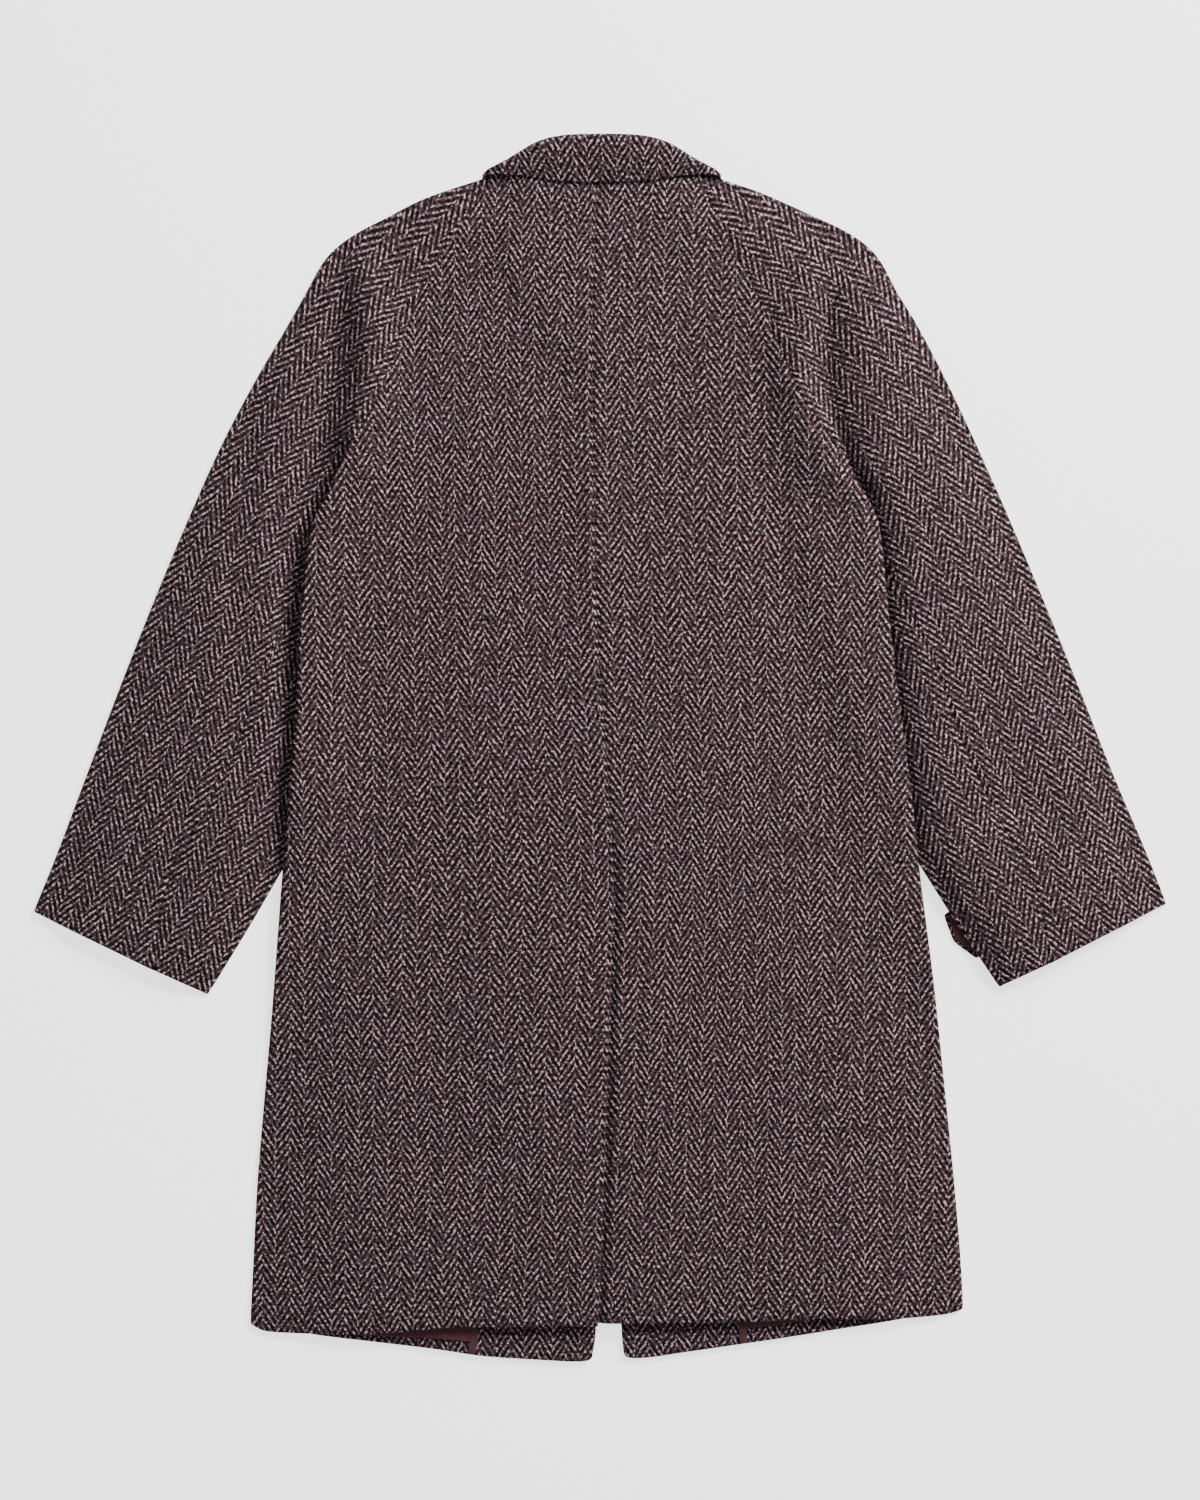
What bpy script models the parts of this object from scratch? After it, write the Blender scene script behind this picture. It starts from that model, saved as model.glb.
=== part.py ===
"""A raglan tweed overcoat lying flat on its front, collar turned down, sleeves at its sides.

X runs across the coat from the middle of its back, Y towards the collar and Z up from the
surface that it lies on. Tables give places by how far they are down from the collar's fold.
"""

import math

import bmesh
import bpy
import numpy as np

# Cloth, in metres
MIDDLE_DOWN = 0.53995
TWEED = 0.0025
LINING = 0.0010
SEAM = 0.0005
LAYER_GAP = 0.0003

# Heights of the cloth's middle above the surface
ON_FLOOR = TWEED / 2
LAYER_REST = 0.00085
STACK = TWEED + LAYER_REST
LOW = ON_FLOOR + STACK
HIGH = 0.0076
SLEEVE_LIFT = 0.0062
COLLAR_LIFT = 0.0032
VENT_RISE = 0.0026
HEM_RISE = 0.0013
TAB_LIFT = 0.0037

# Rolled edges, where the upper cloth turns down over the edge of the lower
ROLL = 0.0031
ROLL_STEPS = ((30.0, 0.0), (60.0, 0.0), (90.0, 0.0), (90.0, 0.0007))
LOWER_INSET = 0.0044
INSET_LEAD = 0.025
HIDDEN_SEAM = 0.0015
SEAM_END = 0.268
ROLL_FULL = 0.300

# How far a height takes to change
CROWN_WIDTH = 0.110
SLEEVE_CROWN_WIDTH = 0.050
TROUGH_WIDTH = 0.075
TROUGH_FOOT = 0.004
TROUGH_WALL = 0.010
TROUGH_FULL = 0.250
TROUGH_REJOIN = 0.235
SIDE_LOW = (0.250, 0.330)
HEM_RISE_DOWN = (0.900, 0.950)
HEM_RISE_INSIDE = (0.030, 0.110)
TUCK_MARGIN = 0.006
TUCK_FADE = 0.060
TUCK_LAST = 3
ARM_BOW = 0.018
COLLAR_MARGIN = 0.027
COLLAR_FADE = 0.072

# Centre back and vent
UNDERLAP = 0.035
UNDERLAP_REST = 0.0006
UNDERLAP_DROP = TWEED + UNDERLAP_REST
VENT_STEPS = (0.002, 0.007, 0.012)
VENT_REACH = (0.050, 0.130)
VENT_RISE_DOWN = (0.660, 0.860)
UNDERLAP_DOWN = (0.655, 0.690)
DROP_DOWN = (0.615, 0.650)

# Inside of the fronts, where it shows at the hem
FACING_WIDTH = 0.107
TURN_UP = 0.040
TURN_UP_STEP = (0.003, 0.017)
EDGE_MARGIN = 0.0006
SIDE_CLEARANCE = 0.090
FACING_ROWS = (0.150, 0.120, 0.080, 0.040, 0.020, 0.0006)
TURN_UP_ROWS = (0.040, 0.020, 0.0006)
LINING_ROWS = (0.120, 0.085, 0.058, 0.054, 0.050, 0.046, 0.042, 0.038, 0.024, 0.011)

# Neck
COLLAR_MIDDLE = 0.0015
NECK_BACK = 0.0360
NECK_SIDE = 0.0345
NECK_FRONT = 0.1050
FRONT_NECK_SIDE = {"left": 0.0410, "right": 0.0470}
NECK_GAP = 0.0015
COLLAR_UNDER = 9
COLLAR_WIDEST = 7
COLLAR_STEEP = 45.0
COLLAR_TURN = (0.0, 45.0, 90.0, 135.0, 180.0)

SIGN = {"left": -1.0, "right": 1.0}
BODY_COLUMN = {"left": 1, "right": 2}
PATH_COLUMNS = {"left": slice(0, 2), "right": slice(2, 4)}

# Edge of the body: raglan seam, then the fold over the sleeve, then the side: down, left, right
BODY_EDGE = np.array((
    (0.0300, -0.0910, 0.0815),
    (0.0550, -0.1065, 0.0945),
    (0.0950, -0.1320, 0.1150),
    (0.1200, -0.1490, 0.1275),
    (0.1720, -0.1705, 0.1515),
    (0.2260, -0.1930, 0.1740),
    (0.2520, -0.2065, 0.1910),
    (0.2780, -0.2225, 0.2125),
    (0.3040, -0.2355, 0.2265),
    (0.3240, -0.2445, 0.2380),
    (0.3400, -0.2535, 0.2455),
    (0.3750, -0.2595, 0.2500),
    (0.4300, -0.2650, 0.2555),
    (0.5000, -0.2680, 0.2635),
    (0.5800, -0.2745, 0.2745),
    (0.6500, -0.2800, 0.2820),
    (0.7600, -0.2885, 0.2960),
    (0.8500, -0.2965, 0.3055),
    (0.9300, -0.3030, 0.3135),
    (1.0000, -0.3065, 0.3190),
    (1.0600, -0.3095, 0.3220),
))

# Crease beside the raglan seam, where the sleeve turns down: down, left, right
VALLEY = np.array((
    (0.1000, -0.2095, 0.1990),
    (0.2250, -0.2100, 0.2055),
    (0.2600, -0.2175, 0.2090),
    (0.2780, -0.2225, 0.2125),
))

# Centre back seam, then the vent's edge: down, across
CENTRE = np.array((
    (0.0300, -0.0025),
    (0.1720, -0.0070),
    (0.3750, -0.0045),
    (0.4450, -0.0020),
    (0.4900, 0.0010),
    (0.5700, 0.0070),
    (0.6400, 0.0105),
    (0.6720, 0.0115),
    (0.7310, 0.0090),
    (0.9380, 0.0020),
    (1.0600, -0.0030),
))

# Front edges: down, left, right
FRONT_EDGE = np.array((
    (0.0300, -0.0040, 0.0080),
    (1.0480, -0.0030, 0.0185),
    (1.0850, -0.0080, 0.0220),
))

# Hems, from the middle of the coat to its sides: share of the width, left down, right down
BACK_HEM = np.array((
    (0.000, 1.0490, 1.0455),
    (0.350, 1.0495, 1.0448),
    (0.465, 1.0507, 1.0440),
    (0.560, 1.0535, 1.0430),
    (0.675, 1.0560, 1.0415),
    (0.825, 1.0560, 1.0425),
    (0.960, 1.0545, 1.0395),
    (1.000, 1.0480, 1.0350),
))
FRONT_HEM = np.array((
    (0.000, 1.0745, 1.0735),
    (0.012, 1.0800, 1.0775),
    (0.035, 1.0820, 1.0790),
    (0.178, 1.0800, 1.0738),
    (0.320, 1.0772, 1.0677),
    (0.460, 1.0710, 1.0617),
    (0.655, 1.0640, 1.0525),
    (0.830, 1.0575, 1.0440),
    (1.000, 1.0440, 1.0310),
))

# Outer edge of each sleeve, neck to cuff: left across, left down, right across, right down
SLEEVE_OUTLINE = np.array((
    (-0.1035, 0.0385, 0.1065, 0.0385),
    (-0.1380, 0.0495, 0.1390, 0.0495),
    (-0.1610, 0.0580, 0.1600, 0.0580),
    (-0.1900, 0.0730, 0.1900, 0.0715),
    (-0.2135, 0.0850, 0.2175, 0.0845),
    (-0.2345, 0.1000, 0.2380, 0.0990),
    (-0.2445, 0.1115, 0.2480, 0.1110),
    (-0.2590, 0.1375, 0.2620, 0.1375),
    (-0.2735, 0.1635, 0.2780, 0.1635),
    (-0.3045, 0.2165, 0.3060, 0.2165),
    (-0.3325, 0.2695, 0.3310, 0.2695),
    (-0.3565, 0.3220, 0.3545, 0.3220),
    (-0.3900, 0.4010, 0.3880, 0.4010),
    (-0.4215, 0.4805, 0.4205, 0.4805),
    (-0.4515, 0.5595, 0.4515, 0.5595),
    (-0.4815, 0.6390, 0.4850, 0.6390),
    (-0.5000, 0.6845, 0.5000, 0.6775),
))

# Seam down the back of each arm, armpit to cuff: left across, left down, right across, right down
ARM_SEAM = np.array((
    (-0.2320, 0.3240, 0.2260, 0.3240),
    (-0.2480, 0.3650, 0.2430, 0.3650),
    (-0.2630, 0.4000, 0.2620, 0.4000),
    (-0.2800, 0.4360, 0.2800, 0.4360),
    (-0.2960, 0.4710, 0.2960, 0.4710),
    (-0.3150, 0.5250, 0.3150, 0.5250),
    (-0.3340, 0.5700, 0.3345, 0.5700),
    (-0.3540, 0.6080, 0.3540, 0.6080),
    (-0.3780, 0.6510, 0.3790, 0.6530),
    (-0.3880, 0.6840, 0.3890, 0.6855),
    (-0.3925, 0.7360, 0.3950, 0.7300),
))

# Inner edge of each sleeve, armpit to cuff: left across, left down, right across, right down
ARM_INNER = np.array((
    (-0.1280, 0.3750, 0.1220, 0.3750),
    (-0.1900, 0.4980, 0.1860, 0.4980),
    (-0.2430, 0.5860, 0.2410, 0.5800),
    (-0.2800, 0.6480, 0.2830, 0.6460),
    (-0.3055, 0.6920, 0.3120, 0.6920),
    (-0.3460, 0.7585, 0.3520, 0.7515),
))

# Collar leaf, back to front end: across, height, turn in degrees, fold, length, edge drop,
# roll, end of the stand below it
COLLAR = np.array((
    (0.0000, 0.0245, 0.0, 0.0000, 0.0395, 0.0088, 0.0042, 0.0355),
    (0.0420, 0.0240, 0.0, 0.0012, 0.0375, 0.0085, 0.0042, 0.0353),
    (0.0580, 0.0222, 4.0, 0.0065, 0.0312, 0.0070, 0.0038, 0.0350),
    (0.0700, 0.0202, 8.0, 0.0135, 0.0235, 0.0052, 0.0034, 0.0347),
    (0.0820, 0.0178, 12.0, 0.0215, 0.0145, 0.0034, 0.0028, 0.0342),
    (0.0920, 0.0158, 20.0, 0.0265, 0.0100, 0.0020, 0.0022, 0.0322),
    (0.1000, 0.0125, 45.0, 0.0285, 0.0075, 0.0000, 0.0024, 0.0338),
    (0.1040, 0.0070, 90.0, 0.0293, 0.0072, 0.0000, 0.0026, 0.0347),
    (0.1005, 0.0024, 140.0, 0.0302, 0.0078, 0.0000, 0.0022, 0.0352),
    (0.0940, ON_FLOOR, 180.0, 0.0335, 0.0110, 0.0000, 0.0016, 0.0395),
    (0.0750, ON_FLOOR, 180.0, 0.0480, 0.0450, 0.0000, 0.0016, 0.0610),
    (0.0500, ON_FLOOR, 180.0, 0.0660, 0.0600, 0.0000, 0.0016, 0.0870),
    (0.0280, ON_FLOOR, 180.0, 0.0820, 0.0680, 0.0000, 0.0016, 0.0990),
    (0.0120, ON_FLOOR, 180.0, 0.0900, 0.0720, 0.0000, 0.0016, 0.1035),
))

# Cuff tab past the right sleeve's inner edge: across and down of its axis, and half its width
TAB_ROOT = np.array((0.3630, 0.6730))
TAB_TIP = np.array((0.3110, 0.7120))
TAB_HALF_WIDTH = 0.0240
TAB_POINT = 0.0110
TAB_WALL = 0.0020
TAB_BORDER = 0.0030
TAB_MARGIN = 0.024
TAB_FADE = 0.064
TAB_STEPS = 5

# Rows and columns of each panel
BODY_ROWS = (0.0, 0.03, 0.07, 0.11, 0.15, 0.19, 0.215, 0.24, 0.265, 0.285, 0.302, 0.325, 0.36, 0.41, 0.47,
             0.53, 0.58, 0.605, 0.625, 0.65, 0.70, 0.76, 0.82, 0.88, 0.93, 0.97, 0.99, 1.0)
SLEEVE_ROWS = (0.0, 0.03, 0.07, 0.11, 0.15, 0.18, 0.21, 0.24, 0.27, 0.31, 0.35, 0.39, 0.43, 0.47, 0.51,
               0.56, 0.62, 0.68, 0.74, 0.80, 0.86, 0.90, 0.94, 0.97, 1.0)
BACK_COLUMNS = 8
SLEEVE_COLUMNS = 7
UNDER_COLUMNS = 5
FRONT_COLUMNS = 9
LOWER_COLUMNS = 6
FACING_COLUMNS = 8
INSIDE_COLUMNS = 6
LEAF_STEPS = 4
STAND_STEPS = 3
TAIL = 0.0004
COLLAR_SEAM = 0.0012
BEND_POWER = 4

# Finishes: linear colour and roughness
TWEED_COLOUR = (0.098, 0.064, 0.072)
TWEED_ROUGHNESS = 0.92
LINING_COLOUR = (0.075, 0.016, 0.022)
LINING_ROUGHNESS = 0.45


def ease(value, start, end):
    """Rise smoothly from 0 at start to 1 at end."""
    share = np.clip((value - start) / (end - start), 0.0, 1.0)
    return share * share * (3.0 - 2.0 * share)


def curve(keys, values, key):
    """Read a smooth curve through a table's values, with no overshoot between them."""
    steps = np.diff(values) / np.diff(keys)
    inner = np.where(steps[:-1] * steps[1:] > 0.0, 2.0 * steps[:-1] * steps[1:], 0.0)
    total = np.where(inner > 0.0, steps[:-1] + steps[1:], 1.0)
    slopes = np.concatenate((steps[:1], inner / total, steps[-1:]))
    index = np.clip(np.searchsorted(keys, key) - 1, 0, len(keys) - 2)
    span = keys[index + 1] - keys[index]
    share = (key - keys[index]) / span
    rest = 1.0 - share
    value = (values[index] * (1.0 + 2.0 * share) + slopes[index] * span * share) * rest * rest
    return value + (values[index + 1] * (3.0 - 2.0 * share) - slopes[index + 1] * span * rest) * share * share


def along(path, shares):
    """Points at the given shares of a path's length."""
    lengths = np.concatenate(((0.0,), np.cumsum(np.linalg.norm(np.diff(path, axis=0), axis=1))))
    keys = lengths / lengths[-1]
    return np.array([[curve(keys, path[:, axis], share) for axis in (0, 1)] for share in shares])


def outward(points, sign):
    """Unit directions square to a row of points, to the side that sign gives."""
    run = np.gradient(points, axis=0)
    run /= np.linalg.norm(run, axis=1)[:, None]
    return sign * np.stack((run[:, 1], -run[:, 0]), axis=1)


def distance(path, x, down):
    """Least distance from a place to a path."""
    start = path[:-1]
    run = path[1:] - start
    reach = (x - start[:, 0]) * run[:, 0] + (down - start[:, 1]) * run[:, 1]
    share = np.clip(reach / (run ** 2).sum(1), 0.0, 1.0)
    near = start + share[:, None] * run
    return float(np.hypot(x - near[:, 0], down - near[:, 1]).min())


def body_edge(side, down):
    return curve(BODY_EDGE[:, 0], BODY_EDGE[:, BODY_COLUMN[side]], down)


def fold_line(side, down):
    """Line where the sleeve turns down: the crease, and below it the edge of the body."""
    if down < VALLEY[-1, 0]:
        return curve(VALLEY[:, 0], VALLEY[:, BODY_COLUMN[side]], max(down, VALLEY[0, 0]))
    return body_edge(side, down)


def centre(down):
    return curve(CENTRE[:, 0], CENTRE[:, 1], down)


def armpit(side):
    """Upper corner of the body's fold, where the raglan seam goes under it."""
    return np.array((body_edge(side, VALLEY[-1, 0]), VALLEY[-1, 0]))


def raglan(side, start):
    """Raglan seam from a place on the neckline to the armpit."""
    rows = BODY_EDGE[(BODY_EDGE[:, 0] > start) & (BODY_EDGE[:, 0] <= VALLEY[-1, 0])]
    neck = np.array((body_edge(side, start), start))
    return np.vstack((neck, rows[:, (BODY_COLUMN[side], 0)]))


def tucked(side, x, down):
    """1 where the body lies on the sleeve tucked under it, fading to 0 beyond."""
    inner = ARM_INNER[:, PATH_COLUMNS[side]]
    place = np.array((x, down))
    line = inner[TUCK_LAST] - inner[0]
    square = np.array((line[1], -line[0])) * -SIGN[side] / np.linalg.norm(line)
    top = inner[0] - armpit(side)
    above = np.array((top[1], -top[0])) * -SIGN[side] / np.linalg.norm(top)
    outside = max((place - inner[0]) @ square - ARM_BOW, (place - inner[0]) @ above)
    return 1.0 - ease(outside, TUCK_MARGIN, TUCK_FADE)


def over_collar(x, down):
    """1 above the collar's front ends, fading to 0 beyond."""
    table = COLLAR[COLLAR_UNDER:]
    reach = np.interp(abs(x - COLLAR_MIDDLE), table[::-1, 0], (table[:, 3] + table[:, 4])[::-1])
    beyond = max(down - reach, abs(x - COLLAR_MIDDLE) - COLLAR[COLLAR_WIDEST, 0])
    return 1.0 - ease(beyond, COLLAR_MARGIN, COLLAR_FADE)


def over_tab(side, x, down):
    """1 above the right cuff tab, fading to 0 beyond."""
    if side == "left":
        return 0.0
    beyond = distance(np.array((TAB_ROOT, TAB_TIP)), x, down) - TAB_HALF_WIDTH
    return 1.0 - ease(beyond, TAB_MARGIN, TAB_FADE)


def front_height(side, x, down):
    return ON_FLOOR + SLEEVE_LIFT * tucked(side, x, down) + COLLAR_LIFT * over_collar(x, down)


def back_height(side, x, down):
    """Height of the back: low at its sides, higher over the tucked sleeve, the vent and the neck."""
    inside = SIGN[side] * (body_edge(side, down) - x)
    crown = 1.0 - (1.0 - ease(inside, 0.0, CROWN_WIDTH)) * ease(down, *SIDE_LOW)
    shoulder = ease(distance(SLEEVE_OUTLINE[:, PATH_COLUMNS[side]], x, down), 0.0, SLEEVE_CROWN_WIDTH)
    tuck = tucked(side, x, down)
    beside_vent = 1.0 - ease(abs(x - centre(down)), *VENT_REACH)
    rise = VENT_RISE * beside_vent * ease(down, *VENT_RISE_DOWN)
    rise += HEM_RISE * (1.0 - beside_vent) * ease(inside, *HEM_RISE_INSIDE) * ease(down, *HEM_RISE_DOWN)
    base = LOW + (HIGH - LOW) * crown * shoulder
    return base * (1.0 - tuck) + (LOW + SLEEVE_LIFT) * tuck + rise + COLLAR_LIFT * over_collar(x, down)


def sleeve_height(side, x, down):
    """Height of the upper sleeve: a trough along the body's fold, and low edges."""
    beside = SIGN[side] * (x - fold_line(side, down))
    rejoin = ease(-beside, 0.0, TROUGH_WALL) * (1.0 - ease(down, TROUGH_REJOIN, VALLEY[-1, 0]))
    trough = (1.0 - ease(beside, TROUGH_FOOT, TROUGH_WIDTH)) * (1.0 - rejoin)
    depth = ease(down, VALLEY[0, 0], TROUGH_FULL)
    edge = min(distance(SLEEVE_OUTLINE[:, PATH_COLUMNS[side]], x, down),
               distance(ARM_INNER[:, PATH_COLUMNS[side]], x, down))
    crown = (1.0 - depth * trough) * ease(edge, 0.0, SLEEVE_CROWN_WIDTH)
    lift = COLLAR_LIFT * over_collar(x, down) + TAB_LIFT * over_tab(side, x, down)
    return LOW + (HIGH - LOW) * crown + lift


def strip(free, rolled, sign, height, columns, rolls):
    """Rows of points from a free edge to one that rolls down by the share that rolls gives."""
    rows = []
    for start, end, out, share in zip(free, rolled, outward(rolled, sign), rolls):
        crease = end - out * (TWEED / 2 + ROLL)
        row = []
        for step in np.linspace(0.0, 1.0, columns):
            x, down = start + (crease - start) * step
            row.append((x, down, height(x, down)))
        top = row[-1][2]
        for step, (angle, hang) in enumerate(ROLL_STEPS, 1):
            level = SEAM / 2 + (TWEED / 2 + ROLL - SEAM / 2) * (1.0 - step / len(ROLL_STEPS))
            arc = TWEED / 2 + ROLL * (1.0 - math.sin(math.radians(angle)))
            drop = ROLL * (1.0 - math.cos(math.radians(angle))) + hang
            row.append((*(end - out * (level + (arc - level) * share)), top - drop * share))
        rows.append(row)
    return np.array(rows)


def cloth(name, points, wall, material):
    """A closed cloth wall on rows of points, each across, down and height."""
    rows, columns = points.shape[:2]
    mesh = bpy.data.meshes.new(name)
    grid = bmesh.new()
    bmesh.ops.create_grid(grid, x_segments=columns - 1, y_segments=rows - 1, size=1.0)
    for vertex, (x, down, height) in zip(grid.verts, points.reshape(-1, 3)):
        vertex.co = (x, MIDDLE_DOWN - down, height)
    grid.to_mesh(mesh)
    grid.free()
    mesh.materials.append(material)
    piece = bpy.data.objects.new(name, mesh)
    bpy.data.collections["tweed_coat"].objects.link(piece)
    thickness = piece.modifiers.new("wall", "SOLIDIFY")
    thickness.thickness = wall
    thickness.offset = 0.0
    thickness.use_even_offset = True
    return piece


def body_rows(side, middle, hem, neck):
    """Middle and outer edge points of a body panel, row by row, from neck to hem."""
    column = BODY_COLUMN[side]
    inner, outer = [], []
    for share in BODY_ROWS:
        down = neck(0.0) + share * (hem[0, column] - neck(0.0))
        inner.append((middle(down), down))
        down = neck(1.0) + share * (hem[-1, column] - neck(1.0))
        outer.append((body_edge(side, down), down))
    return np.array(inner), np.array(outer)


def bend_rows(points, side, hem, neck):
    """Bring the top and bottom rows of a body panel to the neckline and the hem's curve."""
    column = BODY_COLUMN[side]
    width = points[:, -1, 0] - points[:, 0, 0]
    for row, share in enumerate(BODY_ROWS):
        across = (points[row, :, 0] - points[row, 0, 0]) / width[row]
        for index, step in enumerate(across):
            level = hem[0, column] + step * (hem[-1, column] - hem[0, column])
            collar = neck(0.0) + step * (neck(1.0) - neck(0.0))
            points[row, index, 1] += share ** BEND_POWER * (curve(hem[:, 0], hem[:, column], step) - level)
            points[row, index, 1] += (1.0 - share) ** BEND_POWER * (neck(step) - collar)


def build_back(side, material):
    """One half of the back. The right half runs on under the left below the vent's top."""
    def middle(down):
        under = UNDERLAP * ease(down, *UNDERLAP_DOWN) if side == "right" else 0.0
        return centre(down) + SIGN[side] * SEAM / 2 - under

    def height(x, down):
        drop = 0.0
        if side == "right":
            drop = UNDERLAP_DROP * ease(down, *DROP_DOWN)
            drop *= 1.0 - ease(x - centre(down), VENT_STEPS[0], VENT_STEPS[-1])
        return back_height(side, x, down) - drop

    def neck(step):
        return NECK_BACK + (NECK_SIDE - NECK_BACK) * step

    inner, outer = body_rows(side, middle, BACK_HEM, neck)
    rolls = ease(outer[:, 1], SEAM_END, ROLL_FULL)
    free = inner.copy()
    if side == "right":
        free[:, 0] = centre(inner[:, 1]) + VENT_STEPS[-1]
    points = strip(free, outer, SIGN[side], height, BACK_COLUMNS, rolls)
    if side == "right":
        under = []
        for start, down in inner:
            across = (start, *(centre(down) + step for step in VENT_STEPS[:-1]))
            under.append([(x, down, height(x, down)) for x in across])
        points = np.concatenate((np.array(under), points), axis=1)
    bend_rows(points, side, BACK_HEM, neck)
    cloth(f"back_{side}", points, TWEED, material)


def front_edge(side, down):
    return curve(FRONT_EDGE[:, 0], FRONT_EDGE[:, BODY_COLUMN[side]], down)


def front_neck(side, step):
    """Neckline of a front, just below the stand."""
    start = front_edge(side, NECK_FRONT)
    end = body_edge(side, FRONT_NECK_SIDE[side])
    across = abs(start + step * (end - start) - COLLAR_MIDDLE)
    table = COLLAR[:COLLAR_UNDER - 1:-1]
    return np.interp(across, table[:, 0], table[:, -1]) + NECK_GAP


def build_front(side, material):
    """One front, lying on the surface and over the tucked sleeve."""
    def middle(down):
        return front_edge(side, down)

    def neck(step):
        return front_neck(side, step)

    inner, outer = body_rows(side, middle, FRONT_HEM, neck)
    turned = ease(outer[:, 1], SEAM_END - INSET_LEAD, ROLL_FULL - INSET_LEAD)
    inset = SEAM / 2 + (LOWER_INSET - SEAM / 2) * turned
    outer = outer - outward(outer, SIGN[side]) * inset[:, None]
    shares = np.linspace(0.0, 1.0, FRONT_COLUMNS)
    flat = inner[:, None] + (outer - inner)[:, None] * shares[None, :, None]
    points = np.concatenate((flat, np.zeros(flat.shape[:2] + (1,))), axis=2)
    bend_rows(points, side, FRONT_HEM, neck)
    for place in points.reshape(-1, 3):
        place[2] = front_height(side, place[0], place[1])
    cloth(f"front_{side}", points, TWEED, material)


def hem_width(side):
    down = FRONT_HEM[0, BODY_COLUMN[side]]
    return abs(body_edge(side, down) - front_edge(side, down)) - LOWER_INSET


def front_patch(side, inside, outside, rows, columns, height):
    """Points on the inside of a front, by distance from its edge and height above its hem."""
    points = []
    for up in rows:
        row = []
        for across in np.linspace(inside, outside, columns):
            share = across / hem_width(side)
            down = curve(FRONT_HEM[:, 0], FRONT_HEM[:, BODY_COLUMN[side]], share) - up
            row.append((front_edge(side, down) + SIGN[side] * across, down, height(up)))
        points.append(row)
    return np.array(points)


def build_front_inside(side, tweed, lining):
    """Facing, turned-up hem and lining of one front, lying on it above its hem."""
    on_front = TWEED + LAYER_GAP
    facing_height = on_front + TWEED / 2

    def flat(up):
        return facing_height

    def lining_height(up):
        over = 1.0 - ease(up, TURN_UP + TURN_UP_STEP[0], TURN_UP + TURN_UP_STEP[1])
        return on_front + LINING / 2 + (TWEED + LAYER_GAP) * over

    facing = front_patch(side, EDGE_MARGIN, FACING_WIDTH, FACING_ROWS, FACING_COLUMNS, flat)
    cloth(f"facing_{side}", facing, TWEED, tweed)
    start = FACING_WIDTH + SEAM
    end = hem_width(side) - SIDE_CLEARANCE
    turn_up = front_patch(side, start, end, TURN_UP_ROWS, INSIDE_COLUMNS, flat)
    cloth(f"hem_turn_{side}", turn_up, TWEED, tweed)
    sheet = front_patch(side, start, end, LINING_ROWS, INSIDE_COLUMNS, lining_height)
    cloth(f"lining_{side}", sheet, LINING, lining)


def shift(path, sign, amount):
    return path + outward(path, sign) * amount


def build_sleeve(side, material):
    """Back, under and front pieces of one raglan sleeve, flat from shoulder to cuff."""
    sign = SIGN[side]
    columns = PATH_COLUMNS[side]

    def height(x, down):
        return sleeve_height(side, x, down)

    arm_seam = ARM_SEAM[:, columns]
    arm_inner = ARM_INNER[:, columns]
    outline = along(SLEEVE_OUTLINE[:, columns], SLEEVE_ROWS)
    seam = along(np.vstack((raglan(side, NECK_SIDE), arm_seam)), SLEEVE_ROWS)
    free = shift(seam, sign, SEAM / 2)
    rolls = np.ones(len(SLEEVE_ROWS))
    cloth(f"sleeve_back_{side}", strip(free, outline, sign, height, SLEEVE_COLUMNS, rolls), TWEED, material)

    first = int(np.argmax(seam[:, 1] > arm_seam[0, 1]))
    arm = shift(seam, -sign, SEAM / 2)[first:]
    inner = along(arm_inner, np.linspace(0.0, 1.0, len(arm)))
    under = strip(arm, inner, -sign, height, UNDER_COLUMNS, np.ones(len(arm)))
    cloth(f"sleeve_under_{side}", under, TWEED, material)

    outer = shift(outline, -sign, LOWER_INSET)
    upper = np.vstack((raglan(side, FRONT_NECK_SIDE[side]), arm_inner[:1]))
    upper = along(upper, np.linspace(0.0, 1.0, first + 1)[:-1])
    low = np.vstack((shift(upper, sign, HIDDEN_SEAM), shift(inner, sign, LOWER_INSET)))
    points = []
    for start, end in zip(low, outer):
        row = []
        for x, down in start + (end - start) * np.linspace(0.0, 1.0, LOWER_COLUMNS)[:, None]:
            lift = COLLAR_LIFT * over_collar(x, down) + TAB_LIFT * over_tab(side, x, down)
            row.append((x, down, ON_FLOOR + lift))
        points.append(row)
    cloth(f"sleeve_front_{side}", np.array(points), TWEED, material)


def collar_stations():
    """The collar table from its left front end round the back to its right front end."""
    left = [(-1.0, row) for row in COLLAR[:0:-1]]
    return left + [(1.0, row) for row in COLLAR]


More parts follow.
